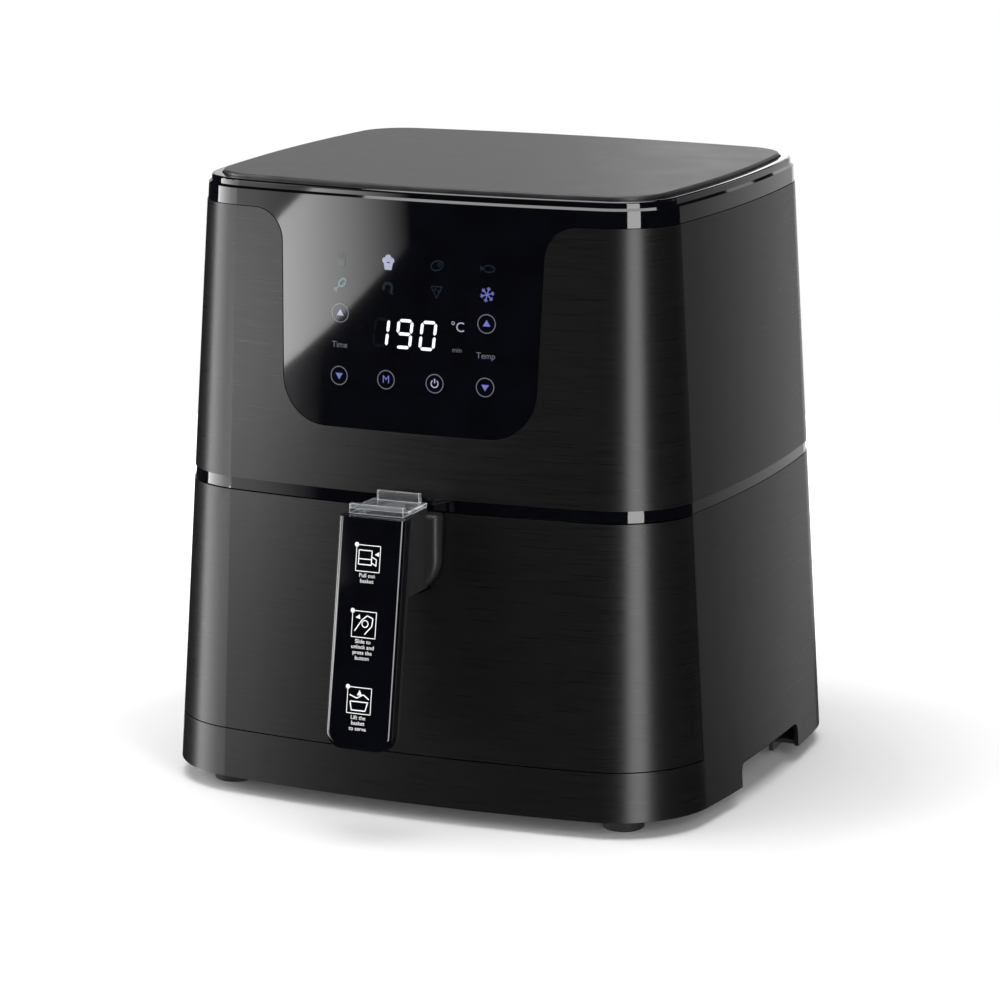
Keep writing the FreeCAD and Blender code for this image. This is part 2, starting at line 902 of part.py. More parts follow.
def element_bend_arc(radius, rising):
    angle = 90.0 + element_gap_angle
    a = math.radians(angle)
    tangent = Vector(math.sin(a), -math.cos(a), 0)
    low = polar(radius, angle, element_z)
    top = low + tangent * element_bend + Vector(0, 0, element_bend)
    half = math.sqrt(0.5)
    middle = low + tangent * (element_bend * half) + Vector(0, 0, element_bend * (1 - half))
    points = (top, middle, low) if rising else (low, middle, top)
    return Part.Arc(points[0], points[1], points[2]).toShape()


def element_arc(radius, start, step):
    points = [polar(radius, start + k * step, element_z) for k in range(3)]
    return Part.Arc(points[0], points[1], points[2]).toShape()


def heating_element():
    first = 90.0 + element_gap_angle
    turn = 90.0 - element_gap_angle + 360.0
    upper = dome_top + element_top
    x_a, y_a = riser_places()[0]
    x_b, y_b = riser_places()[1]
    bend_top = element_z + element_bend
    edges = [Part.LineSegment(Vector(x_a, y_a, upper), Vector(x_a, y_a, bend_top)).toShape(),
             element_bend_arc(element_outer, True)]
    middle = (first + turn) / 2
    quarter = (middle - first) / 2
    for start in (first, middle):
        edges.append(element_arc(element_outer, start, quarter))
    a = math.radians(turn)
    between = (element_outer + element_inner) / 2
    bulge = (element_outer - element_inner) / 2
    tip = polar(between, turn, element_z) + Vector(-math.sin(a), math.cos(a), 0) * bulge
    outer_end = polar(element_outer, turn, element_z)
    inner_end = polar(element_inner, turn, element_z)
    edges.append(Part.Arc(outer_end, tip, inner_end).toShape())
    for start in (turn, middle):
        edges.append(element_arc(element_inner, start, -quarter))
    edges.append(element_bend_arc(element_inner, False))
    edges.append(Part.LineSegment(Vector(x_b, y_b, bend_top), Vector(x_b, y_b, upper)).toShape())
    path = Part.Wire(edges)
    circle = Part.Wire(Part.makeCircle(element_tube, Vector(x_a, y_a, upper), Vector(0, 0, -1)))
    return path.makePipeShell([circle], True, False)


def element_collars():
    collars = []
    for x, y in riser_places():
        body = rod_z(collar_radius, x, y, dome_top, dome_top + collar_height)
        top = dome_top + collar_height + cut_margin
        collars.append(body.cut(rod_z(element_tube + fit_gap, x, y, dome_top - cut_margin, top)))
    return Part.makeCompound(collars)


# Motor and fans.
def motor_bracket():
    pieces = [rod_z(bracket_radius, 0, axis_y, plate_z, plate_z + bracket_plate)]
    for angle in bracket_leg_angles:
        foot = polar(bracket_reach, angle, 0)
        pieces.append(rod_z(bracket_leg_radius, foot.x, foot.y, dome_top, plate_z))
    bracket = joined(pieces)
    keep = axis_y + element_inner - collar_radius - bracket_rear_gap
    high = plate_z + bracket_plate + cut_margin
    rear = box(-body_width, body_width, keep, body_depth, plate_z - cut_margin, high)
    return bracket.cut([rear, rod_z(dome_hole, 0, axis_y, dome_top, high)])


def stack_low():
    return plate_z + bracket_plate + stack_rise


def motor_frame():
    low = plate_z + bracket_plate
    bore = shaft_radius + bearing_gap
    profile = [(bore, low, 0), (motor_seat, low, 0), (motor_radius, low + motor_cone, motor_round),
               (motor_radius, motor_top - motor_cone, motor_round), (motor_end, motor_top, motor_end_round),
               (bore, motor_top, 0)]
    body = Part.Face(rounded_wire(profile, on_y(0))).revolve(Vector(0, 0, 0), Vector(0, 0, 1), 360)
    body.translate(Vector(0, axis_y, 0))
    return body


def stator_stack():
    low = stack_low()
    half = stack_size / 2
    plate = prism(rectangle(half, -half, half, stack_corner), on_z(low), Vector(0, 0, stack_height))
    plate.translate(Vector(0, axis_y, 0))
    bore = rod_z(motor_radius + fit_gap, 0, axis_y, low - cut_margin, low + stack_height + cut_margin)
    return plate.cut(bore)


def motor_shaft():
    return rod_z(shaft_radius, 0, axis_y, fan_z - nut_height, cooler_z + cooler_height + shaft_end)


# One curved blade standing on a fan plate, from the inner to the outer radius.
def curved_blade(inner, outer, wall, z0, z1, lead):
    start = Vector(inner, 0, z0)
    a = math.radians(lead)
    stop = Vector(outer * math.cos(a), outer * math.sin(a), z0)
    half = math.radians(lead * blade_sweep)
    mid_radius = (inner + outer) / 2
    middle = Vector(mid_radius * math.cos(half), mid_radius * math.sin(half), z0)
    shift = Vector(-math.sin(a / 2), math.cos(a / 2), 0) * wall
    near = Part.Arc(start, middle, stop).toShape()
    far = Part.Arc(start + shift, middle + shift, stop + shift).toShape()
    ends = [Part.LineSegment(start, start + shift).toShape(), Part.LineSegment(stop, stop + shift).toShape()]
    edges = Part.__sortEdges__([near, far] + ends)
    return Part.Face(Part.Wire(edges)).extrude(Vector(0, 0, z1 - z0))


def bladed_fan(radius, hub, height, blades, wall, z0, lead):
    plate = rod_z(radius * fan_plate_share, 0, 0, z0 + height - wall, z0 + height)
    pieces = [rod_z(hub, 0, 0, z0, z0 + height), plate]
    for k in range(blades):
        blade = curved_blade(hub - blade_root, radius - wall, wall, z0, z0 + height, lead)
        blade.rotate(Vector(0, 0, 0), Vector(0, 0, 1), k * 360.0 / blades)
        pieces.append(blade)
    fan = joined(pieces).cut(rod_z(shaft_radius, 0, 0, z0 - cut_margin, z0 + height + cut_margin))
    fan.translate(Vector(0, axis_y, 0))
    return fan


def convection_fan():
    return bladed_fan(fan_radius, fan_hub, fan_height, fan_blades, fan_sheet, fan_z, fan_lead)


def cooling_fan():
    return bladed_fan(cooler_radius, cooler_hub, cooler_height, cooler_blades, cooler_wall, cooler_z,
                      cooler_lead)


def fan_nut():
    points = []
    for k in range(7):
        a = math.radians(60 * k)
        r = nut_width / 2 / math.cos(math.pi / 6)
        points.append(Vector(r * math.cos(a), axis_y + r * math.sin(a), fan_z - nut_height))
    nut = Part.Face(Part.makePolygon(points)).extrude(Vector(0, 0, nut_height))
    return nut.cut(rod_z(shaft_radius, 0, axis_y, fan_z - nut_height - cut_margin, fan_z + cut_margin))


# Electronics.
def control_board():
    low = board_low()
    face = board_offset + board_wall
    board = leaning_slab(-board_half, board_half, low, low + board_height, board_offset, face)
    start = low + processor_low
    processor = leaning_slab(-processor_half, processor_half, start, start + processor_length,
                             face, face + processor_height)
    start = low + socket_low
    socket = leaning_slab(socket_left, socket_left + socket_width, start, start + socket_length,
                          face, face + socket_height)
    return joined([board, processor, socket])


def display_module():
    middle = tongue_low + display_rise
    low = middle - display_height / 2
    near = board_offset - display_depth
    return leaning_slab(-display_half, display_half, low, low + display_height, near, board_offset)


def touch_pads():
    middle = tongue_low + display_rise
    limit = leaning_slab(-body_width, body_width, tongue_low, z_ledge, -2 * cut_margin, board_offset)
    inside = layer(fascia_recess + fascia_wall + flange_gap, tongue_low, z_ledge)
    pads = []
    for row in pad_rows:
        for k in (-1.5, -0.5, 0.5, 1.5):
            if abs(row - pad_rows[1]) > 1 or abs(k) > 1:
                pad = rod_y(pad_radius, k * pad_pitch, middle + row, -body_depth, 0)
                pads.append(pad.common(limit).common(inside))
    return Part.makeCompound(pads)


def power_board():
    x = power_face_x()
    z0 = z_band - power_below_band
    z1 = z0 + power_height
    board = box(x, x + board_wall, -power_half, power_half, z0, z1)

    def block(y, width, low, length, height):
        return box(x - height, x, y - width / 2, y + width / 2, z0 + low, z0 + low + length)

    transformer = block(transformer_y, transformer_width, transformer_low, transformer_length,
                        transformer_height)
    relay = block(relay_y, relay_width, relay_low, relay_length, relay_height)
    capacitor = rod_x(capacitor_radius, capacitor_y, z0 + capacitor_low, x - capacitor_height, x)
    inductor = rod_x(inductor_radius, relay_y, z0 + inductor_low, x - inductor_height, x)
    plugs = block(0.0, plug_row_width, power_height - plug_row_drop, plug_row_length, plug_row_height)
    return joined([board, transformer, relay, capacitor, inductor, plugs])


def temperature_probe():
    at = polar(dome_radius - probe_edge, probe_angle, 0)
    rod = rod_z(probe_radius, at.x, at.y, dome_top - probe_below, dome_top + probe_above)
    return joined([rod, rod_z(probe_radius + probe_collar, at.x, at.y, dome_top, dome_top + probe_collar)])


def thermal_cutout():
    at = polar(dome_radius - cutout_edge, cutout_angle, 0)
    x = at.x
    y = at.y
    high = dome_top + cutout_height
    body = rod_z(cutout_radius, x, y, dome_top, high)
    wide = cutout_flange_half
    deep = cutout_flange_width / 2
    pieces = [body, box(x - wide, x + wide, y - deep, y + deep, dome_top, dome_top + dome_wall)]
    for side in (-1, 1):
        left = x + (side * tab_pitch - tab_wall) / 2
        half = tab_width / 2
        pieces.append(box(left, left + tab_wall, y - half, y + half, high, high + tab_length))
    return joined(pieces)


def switch_near_y():
    return frame_y + frame_wall + joint_gap


def interlock_switch():
    x0 = liner_half + joint_gap
    y0 = switch_near_y()
    y1 = y0 + switch_length
    low = switch_z - switch_height / 2
    body = box(x0, x0 + switch_width, y0, y1, low, low + switch_height)
    deep = y0 + plunger_length + plunger_travel
    body = body.cut(rod_y(plunger_radius + bearing_gap, peg_x, switch_z, y0, deep))
    tabs = []
    for k in (-1, 0, 1):
        z = switch_z + k * switch_tab_pitch - tab_wall / 2
        half = switch_tab_width / 2
        tabs.append(box(peg_x - half, peg_x + half, y1, y1 + switch_tab_length, z, z + tab_wall))
    return joined([body] + tabs)


def switch_plunger():
    y0 = switch_near_y()
    return rod_y(plunger_radius, peg_x, switch_z, y0 - plunger_out, y0 + plunger_length - plunger_end_gap)


# The outer flange and the inner collar of the gland follow the leaning, bowed rear wall.
def cord_gland():
    wall = half_y(gland_z) - (side_bow_radius - math.sqrt(side_bow_radius ** 2 - gland_x ** 2))
    outer = wall + gland_flange_height
    inner = wall - gland_length
    flange = rod_y(gland_flange, gland_x, gland_z, inner, outer).cut(layer(0.0, 0.0, z_trim))
    collar = rod_y(gland_flange, gland_x, gland_z, inner, outer).common(layer(shell_wall, 0.0, z_trim))
    gland = joined([flange, collar, rod_y(gland_radius, gland_x, gland_z, inner, outer)])
    return gland.cut(rod_y(gland_bore, gland_x, gland_z, inner - cut_margin, outer + cut_margin))


# Drawer.
def notch_wire(shrink, top):
    half = notch_half - shrink
    low = notch_low + shrink
    radius = notch_radius - shrink
    return [(-half, low, radius), (half, low, radius), (half, top, 0), (-half, top, 0)]


def notch_prism(shrink, top, y0, y1):
    return prism(notch_wire(shrink, top), on_y(y0), Vector(0, y1 - y0, 0))


def drawer_front():
    body = layer(0.0, z_drawer_low, z_drawer_high)
    body = body.cut(layer(drawer_wall, z_drawer_low + drawer_wall, z_drawer_high - drawer_wall))
    rear = box(-body_width, body_width, back_front_y, body_depth, 0, z_band)
    body = body.cut(layer(drawer_wall, z_drawer_low - cut_margin, z_drawer_high + cut_margin).common(rear))
    body = body.cut(box(-body_width, body_width, seam_y - seam_gap, body_depth, 0, z_band))
    return body.cut(notch_prism(0.0, z_trim + cut_margin, -body_depth, 0)).removeSplitter()


def rivet_places():
    places = []
    for x in (-rivet_x, rivet_x):
        for drop in (rivet_high, rivet_low):
            places.append((x, pan_high - drop))
    return places


def pan_body(inset, z0, z1, round_bottom):
    def half_at(z):
        return pan_half - inset - pan_taper * (pan_high - z) / (pan_high - pan_low)
    wires = []
    for z in (z0, z1):
        shrink = pan_half - half_at(z)
        corners = rectangle(pan_half - shrink, pan_front + shrink, pan_rear - shrink, pan_corner - shrink)
        wires.append(rounded_wire(corners, on_z(z)))
    solid = Part.makeLoft(wires, True, True)
    if round_bottom <= 0:
        return solid
    edges = [edge for edge in solid.Edges if edge.BoundBox.ZMax < z0 + 0.01]
    return solid.makeFillet(round_bottom, edges)


def drawer_back():
    inset = drawer_wall + flange_gap
    plate = box(-body_width, body_width, back_front_y, back_rear_y, z_drawer_low, z_drawer_high)
    plate = plate.common(layer(inset, z_drawer_low, z_drawer_high))
    bosses = [rod_y(rivet_boss, x, z, back_front_y, axis_y) for x, z in rivet_places()]
    bosses = [boss.cut(pan_body(0.0, pan_low, pan_high, 0)) for boss in bosses]
    peg_end = switch_near_y() - plunger_out - joint_gap
    plate = plate.fuse(bosses + [rod_y(peg_radius, peg_x, switch_z, back_front_y, peg_end)])
    pass_half = bracket_half + joint_gap
    opening = box(-pass_half, pass_half, -body_depth, 0, bracket_z - bracket_flange, z_trim)
    side = bolt_half + joint_gap
    rise = bolt_height / 2 + joint_gap
    hole = box(-side, side, -body_depth, axis_y, bolt_z - rise, bolt_z + rise)
    rivets = [rod_y(rivet_radius + fit_gap, x, z, -body_depth, axis_y) for x, z in rivet_places()]
    return plate.cut([opening, hole] + rivets).removeSplitter()


def notch_bezel():
    low_y = -body_depth
    outer = notch_prism(0.0, z_drawer_high, low_y, back_front_y)
    inner = notch_prism(bezel_wall, z_trim + cut_margin, low_y, back_front_y)
    return outer.cut(inner).common(layer(-bezel_proud, notch_low - cut_margin, z_trim))


def pan():
    outer = pan_body(0.0, pan_low, pan_high, pan_bottom_round)
    inner = pan_body(pan_wall, pan_low + pan_wall, pan_high, pan_bottom_round - pan_wall)
    tub = outer.cut(inner)
    lip = prism(rectangle(pan_half + pan_lip, pan_front - pan_lip, pan_rear + pan_lip, pan_corner + pan_lip),
                on_z(pan_high - pan_wall), Vector(0, 0, pan_wall))
    tub = tub.fuse(lip.cut(pan_body(pan_wall, pan_low, pan_high, 0)))
    holes = [rod_y(rivet_radius + fit_gap, x, z, -body_depth, axis_y) for x, z in rivet_places()]
    return tub.cut(holes).removeSplitter()


def rivet_wall_y(z):
    return pan_front + pan_taper * (pan_high - z) / (pan_high - pan_low)


def pan_rivets():
    rivets = []
    for x, z in rivet_places():
        inner = rivet_wall_y(z - rivet_head) + pan_wall
        shank = rod_y(rivet_radius, x, z, back_front_y - rivet_tail_height, inner)
        tail = rod_y(rivet_tail, x, z, back_front_y - rivet_tail_height, back_front_y)
        head = rod_y(rivet_head, x, z, inner, inner + rivet_head_height)
        rivets.append(joined([shank, tail, head]))
    return Part.makeCompound(rivets)


def basket():
    inset = pan_wall + basket_clear
    outer = pan_body(inset, basket_low, basket_rim + pan_wall, 0)
    inner = pan_body(inset + basket_wall, basket_low + basket_wall, basket_rim + pan_wall, 0)
    ledge = inset + basket_wall + basket_ledge
    floor = pan_body(ledge, basket_low - cut_margin, grate_low + cut_margin, 0)
    tub = outer.cut([inner, floor])
    lip = prism(rectangle(pan_half + basket_lip, pan_front - basket_lip, pan_rear + basket_lip,
                          pan_corner + basket_lip), on_z(basket_rim), Vector(0, 0, pan_wall))
    hole = pan_body(inset + basket_wall / 2, basket_rim - cut_margin, basket_rim + pan_wall, 0)
    return tub.fuse(lip.cut(hole)).removeSplitter()


# Slots of the basket floor: (left, right, middle) of each, in two columns of rows.
def grate_slots():
    rows = int((grate_half_y - grate_margin) / grate_pitch)
    slots = []
    for i in range(-rows, rows + 1):
        for side in (-1, 1):
            left, right = sorted((side * grate_web / 2, side * (grate_half - grate_margin)))
            slots.append((left, right, axis_y + i * grate_pitch))
    return slots


def basket_grate():
    radius = pan_corner - grate_shrink
    plate = rectangle(grate_half, axis_y - grate_half_y, axis_y + grate_half_y, radius)
    wires = [rounded_wire(plate, on_z(grate_low))]
    r = grate_slot / 2
    for left, right, y in grate_slots():
        slot = [(left, y - r, r), (right, y - r, r), (right, y + r, r), (left, y + r, r)]
        wires.append(rounded_wire(slot, on_z(grate_low)))
    return Part.makeFace(wires, "Part::FaceMakerBullseye").extrude(Vector(0, 0, grate_wall))


def neck_rear_y():
    return back_front_y - joint_gap


def basket_bracket():
    t = bracket_wall
    y0 = neck_rear_y()
    tab_y = pan_front + pan_wall + basket_clear + basket_wall
    low = bracket_z - bracket_flange + joint_gap
    flange = box(-bracket_half, bracket_half, y0, y0 + t, low, bracket_z + t)
    strap = box(-bracket_half, bracket_half, y0, tab_y + bracket_hook, bracket_z, bracket_z + t)
    low = bracket_z - bracket_drop
    tab = box(-bracket_half, bracket_half, pan_front, tab_y + bracket_hook, low, bracket_z + t / 2)
    inset = pan_wall + basket_clear + basket_wall
    inside = pan_body(inset, pan_low, bracket_z + t, 0)
    keep = pan_body(inset + t, pan_low, bracket_z + t, 0)
    tab = tab.common(inside).cut(keep)
    return joined([flange, strap, tab])


def neck_half():
    return notch_half - bezel_wall - joint_gap


def guard_legs(grow):
    legs = []
    for side in (-1, 1):
        x0 = side * (guard_leg_half - guard_leg_wall - grow)
        x1 = side * (guard_leg_half + grow)
        x2 = side * (guard_leg_half + guard_toe + grow)
        y0 = guard_rear_y - guard_rib_wall - guard_leg_length - (guard_travel if grow > 0 else 0.0) - grow
        y1 = guard_rear_y - guard_rib_wall + grow
        z0 = guard_z - guard_leg_drop - grow
        z1 = guard_z - guard_leg_drop + guard_toe + grow
        top = guard_z + (cut_margin if grow > 0 else guard_wall / 2)
        legs.append(box(min(x0, x1), max(x0, x1), y0, y1, z0, top))
        legs.append(box(min(x0, x2), max(x0, x2), y0, y1, z0, z1))
    return legs


# Handle parts are drawn upright from the top front edge and then tilted about it.
def tilted(shape):
    moved = shape.copy()
    moved.translate(Vector(0, handle_front_y, handle_top))
    moved.rotate(Vector(0, handle_front_y, handle_top), Vector(1, 0, 0), -handle_tilt)
    return moved


def grip_block(half, near, far, low, corner, rounding, rounded_at):
    corners = [(-half, low, corner), (half, low, corner), (half, grip_overrun, 0), (-half, grip_overrun, 0)]
    block = prism(corners, on_y(near), Vector(0, far - near, 0))
    edges = []
    for edge in block.Edges:
        middle = edge.valueAt((edge.FirstParameter + edge.LastParameter) / 2)
        if abs(middle.y - rounded_at) < 0.01 and middle.z < grip_overrun - 0.01:
            edges.append(edge)
    return block.makeFillet(rounding, edges)


def above_handle():
    return box(-body_width, body_width, -2 * body_depth, 0, handle_top, z_band)


def handle_screw_heights():
    return [-handle_screw_drop, -handle_screw_drop - handle_screw_pitch]


def handle_front():
    block = grip_block(handle_width / 2, 0.0, cover_depth, -handle_length, cover_corner, cover_round, 0.0)
    holes = []
    for z in handle_screw_heights():
        near = cover_depth - handle_screw_bite - joint_gap
        holes.append(rod_y(handle_screw_radius + bearing_gap, 0, z, near, cover_depth + cut_margin))
    return tilted(block.cut(holes)).cut(above_handle())


def handle_back_solid():
    half = handle_width / 2 - grip_back_inset
    low = -handle_length + grip_back_inset
    far = cover_depth + grip_back_depth
    corner = cover_corner - grip_back_inset
    return grip_block(half, cover_depth, far, low, corner, grip_back_round, far)


def handle_back():
    far = cover_depth + grip_back_depth
    holes = []
    for z in handle_screw_heights():
        holes.append(rod_y(handle_screw_radius + fit_gap, 0, z, cover_depth - cut_margin, far + cut_margin))
        holes.append(rod_y(handle_screw_head + flange_gap, 0, z, far - handle_screw_sink, far + cut_margin))
    return tilted(handle_back_solid().cut(holes)).cut(above_handle()).cut(guard_legs(slide_gap))


def handle_screws():
    far = cover_depth + grip_back_depth
    screws = []
    for z in handle_screw_heights():
        seat = far - handle_screw_sink
        top = seat + handle_screw_head_height
        head = rod_y(handle_screw_head, 0, z, seat, top)
        half = screw_slot / 2
        head = head.cut(box(-handle_screw_head, handle_screw_head, top - screw_slot, far, z - half, z + half))
        shank = rod_y(handle_screw_radius, 0, z, cover_depth - handle_screw_bite, seat)
        screws.append(tilted(joined([head, shank])))
    return Part.makeCompound(screws)


# The neck: a U-shaped plug in the notch, and an arm out to the grip with the release works inside.
def neck_plug():
    half = neck_half()
    low = notch_low + bezel_wall + joint_gap
    high = z_drawer_high - joint_gap
    radius = notch_radius - bezel_wall - joint_gap
    corners = [(-half, low, radius), (half, low, radius), (half, high, neck_corner),
               (-half, high, neck_corner)]
    plug = prism(corners, on_y(plug_front_y), Vector(0, neck_rear_y() - plug_front_y, 0))
    edges = []
    for edge in plug.Edges:
        middle = edge.valueAt((edge.FirstParameter + edge.LastParameter) / 2)
        if abs(middle.y - plug_front_y) < 0.01 and middle.z < high - 0.01:
            edges.append(edge)
    return plug.makeFillet(neck_round, edges)


def wedge_line(z, offset):
    return button_y - wedge_lead - (z - bolt_z + bolt_height / 2) + offset


def handle_neck():
    low = notch_low + bezel_wall + arm_bottom
    reach = handle_front_y - cover_depth - grip_back_depth
    arm = box(-arm_half, arm_half, reach, plug_front_y + neck_overlap, low, handle_top)
    grip = tilted(box(-body_width, body_width, -body_depth, cover_depth + grip_back_depth, -2 * handle_length,
                      handle_length))
    arm = arm.cut(grip)
    neck = joined([neck_plug(), arm])
    gap = joint_gap
    well = rod_z(button_radius + slide_gap, 0, button_y, spring_low, handle_top + cut_margin)
    wide = stem_half + slide_gap
    front = wedge_line(bolt_z + bolt_height / 2, -cut_margin - button_travel)
    floor = bolt_z - bolt_height / 2 - button_travel - window_gap
    passage = box(-wide, wide, front, button_y + stem_radius + window_gap, floor, spring_low + cut_margin)
    side = bolt_half + gap
    rise = bolt_height / 2 + gap
    channel = box(-side, side, bolt_front_y() - button_travel - gap, 0, bolt_z - rise, bolt_z + rise)
    return neck.cut([well, passage, channel] + guard_legs(slide_gap)).removeSplitter()


def bolt_front_y():
    return wedge_line(bolt_z + bolt_height / 2, 0.0) - bolt_front_wall


# Button with a stem whose lower end is a 45 degree wedge in the window of the bolt.
def release_button():
    cap = rod_z(button_radius, 0, button_y, handle_top - button_height, handle_top)
    cap = cap.makeFillet(button_round, [edge for edge in cap.Edges if edge.BoundBox.ZMin > handle_top - 0.01])
    stem = rod_z(stem_radius, 0, button_y, spring_low - 2 * cut_margin, handle_top - button_height)
    low = bolt_z - bolt_height / 2
    high = bolt_z + bolt_height / 2
    rear = button_y + stem_radius
    root = spring_low - cut_margin
    corners = [(wedge_line(low, 0.0), low, 0), (rear, low, 0), (rear, root, 0),
               (wedge_line(high, 0.0), root, 0), (wedge_line(high, 0.0), high, 0)]
    blade = prism(corners, on_x(-stem_half), Vector(2 * stem_half, 0, 0))
    return joined([cap, stem, blade])


def latch_bolt():
    low = bolt_z - bolt_height / 2
    high = bolt_z + bolt_height / 2
    bar = box(-bolt_half, bolt_half, bolt_front_y(), neck_rear_y() + bolt_nose, low, high)
    rear = button_y + stem_radius + button_travel + window_gap
    gap = -slide_gap * math.sqrt(2)
    under = low - cut_margin
    over = high + cut_margin
    corners = [(wedge_line(under, gap), under, 0), (rear, under, 0), (rear, over, 0),
               (wedge_line(over, gap), over, 0)]
    side = stem_half + slide_gap
    return bar.cut(prism(corners, on_x(-side), Vector(2 * side, 0, 0)))


def release_spring():
    rise = spring_height - 2 * spring_wire - 2 * joint_gap
    helix = Part.makeHelix(rise / spring_turns, rise, spring_radius)
    start = Vector(spring_radius, 0, 0)
    wire = Part.Wire(Part.makeCircle(spring_wire, start, Vector(0, 1, 0)))
    spring = Part.Wire(helix.Edges).makePipeShell([wire], True, True)
    spring.translate(Vector(0, button_y, spring_low + joint_gap + spring_wire))
    return spring


def release_guard():
    plate = box(-guard_half, guard_half, guard_front_y, guard_rear_y, guard_z, guard_z + guard_wall)
    front = box(-guard_half, guard_half, guard_front_y, guard_front_y + guard_rib_wall, guard_z,
                guard_z + guard_wall + guard_front_rib)
    rear = box(-guard_rear_half, guard_rear_half, guard_rear_y - guard_rib_wall, guard_rear_y, guard_z,
               guard_z + guard_wall + guard_rear_rib)
    upper = guard_z + guard_wall
    body = joined([plate, front, rear] + guard_legs(0.0))
    edges = [edge for edge in body.Edges if edge.BoundBox.ZMin > upper + cut_margin]
    return body.makeFillet(guard_round, edges)


NODES = {
    "lower_shell": lower_shell, "base_tray": base_tray, "rubber_feet": rubber_feet,
    "base_screws": base_screws, "trim_ring": trim_ring, "upper_shell": upper_shell,
    "control_fascia": control_fascia, "top_rim": top_rim, "top_panel": top_panel,
    "rear_grille": rear_grille, "exhaust_duct": exhaust_duct, "cavity_liner": cavity_liner,
    "front_frame": front_frame, "pan_runners": pan_runners, "air_dome": air_dome,
    "element_guard": element_guard, "heating_element": heating_element,
    "element_collars": element_collars, "motor_bracket": motor_bracket, "motor_frame": motor_frame,
    "stator_stack": stator_stack, "motor_shaft": motor_shaft, "convection_fan": convection_fan,
    "cooling_fan": cooling_fan, "fan_nut": fan_nut, "control_board": control_board,
    "display_module": display_module, "touch_pads": touch_pads, "power_board": power_board,
    "temperature_probe": temperature_probe, "thermal_cutout": thermal_cutout,
    "interlock_switch": interlock_switch, "switch_plunger": switch_plunger, "cord_gland": cord_gland,
    "drawer_front": drawer_front, "drawer_back": drawer_back, "notch_bezel": notch_bezel, "pan": pan,
    "pan_rivets": pan_rivets, "basket": basket, "basket_grate": basket_grate,
    "basket_bracket": basket_bracket, "handle_neck": handle_neck, "handle_back": handle_back,
    "handle_front": handle_front, "handle_screws": handle_screws, "release_guard": release_guard,
    "release_button": release_button, "latch_bolt": latch_bolt, "release_spring": release_spring,
}


# Half the difference between the rear of the shell and the front of the handle.
def frame_shift():
    front = handle_front().optimalBoundingBox(False, False).YMin
    return -(front + half_y(z_base)) / 2


def main():
    os.makedirs("parts", exist_ok=True)
    shift = Vector(0, frame_shift(), 0)
    for name, build in NODES.items():
        shape = build()
        shape.translate(shift)
        shape.exportStep("parts/" + name + ".step")


if __name__ == "__main__":
    main()
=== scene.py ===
import math
import bpy
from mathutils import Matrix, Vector


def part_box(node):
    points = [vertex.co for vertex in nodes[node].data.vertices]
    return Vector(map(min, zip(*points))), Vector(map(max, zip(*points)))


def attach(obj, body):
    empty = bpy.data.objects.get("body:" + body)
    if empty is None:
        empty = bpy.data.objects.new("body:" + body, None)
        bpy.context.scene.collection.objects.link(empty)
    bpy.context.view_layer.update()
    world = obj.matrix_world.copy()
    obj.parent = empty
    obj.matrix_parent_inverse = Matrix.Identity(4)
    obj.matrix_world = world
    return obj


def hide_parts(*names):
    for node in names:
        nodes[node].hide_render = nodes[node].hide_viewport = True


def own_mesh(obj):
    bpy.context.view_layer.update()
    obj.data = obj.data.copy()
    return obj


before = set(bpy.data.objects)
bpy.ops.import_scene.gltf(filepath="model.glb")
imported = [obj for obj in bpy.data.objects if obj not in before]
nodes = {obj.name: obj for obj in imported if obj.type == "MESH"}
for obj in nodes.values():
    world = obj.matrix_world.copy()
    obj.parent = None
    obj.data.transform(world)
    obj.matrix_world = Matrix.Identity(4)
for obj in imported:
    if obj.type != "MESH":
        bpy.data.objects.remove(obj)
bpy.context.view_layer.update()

# Housing outline in metres, as in the solids: concentric arcs leaning inward with height.
BOW = 0.785
HALF_DEPTH = 0.1382
DRAFT = 0.06
SHIFT_Y = 0.0235489
FASCIA_INSET = 0.0004
HANDLE_TILT = math.radians(9.27)
HANDLE_TOP_Z = 0.1644
HANDLE_REACH = 0.038
HANDLE_FRONT_Y = -(HALF_DEPTH - DRAFT * HANDLE_TOP_Z) - HANDLE_REACH + SHIFT_Y
PRINT_LIFT = 0.00012
MM_PER_METRE = 1000.0
WHITE = (1.0, 1.0, 1.0, 1.0)
EVEN = (1, 1, 1)
PLAIN_DETAIL = 2.0
GLOSS_COAT = 0.4
COAT_ROUGHNESS = 0.05


# Front face of the housing at a width and height, for an inset from the outer skin.
def front_y(x, z, inset):
    r = BOW - inset - DRAFT * z
    return (BOW - HALF_DEPTH) - math.sqrt(r * r - x * x) + SHIFT_Y


# Materials.
def new_material(name):
    mat = bpy.data.materials.new(name)
    mat.use_nodes = True
    tree = mat.node_tree
    return mat, tree, tree.nodes["Principled BSDF"]


def stretched_noise(tree, scale, stretch, detail=6.0):
    coord = tree.nodes.new("ShaderNodeTexCoord")
    mapping = tree.nodes.new("ShaderNodeMapping")
    mapping.inputs["Scale"].default_value = stretch
    noise = tree.nodes.new("ShaderNodeTexNoise")
    noise.inputs["Scale"].default_value = scale
    noise.inputs["Detail"].default_value = detail
    tree.links.new(coord.outputs["Object"], mapping.inputs["Vector"])
    tree.links.new(mapping.outputs["Vector"], noise.inputs["Vector"])
    return noise


def ramp(tree, source, low, high, start=0.3, stop=0.7):
    node = tree.nodes.new("ShaderNodeValToRGB")
    node.color_ramp.elements[0].position = start
    node.color_ramp.elements[1].position = stop
    node.color_ramp.elements[0].color = (*low, 1.0)
    node.color_ramp.elements[1].color = (*high, 1.0)
    tree.links.new(source, node.inputs["Fac"])
    return node


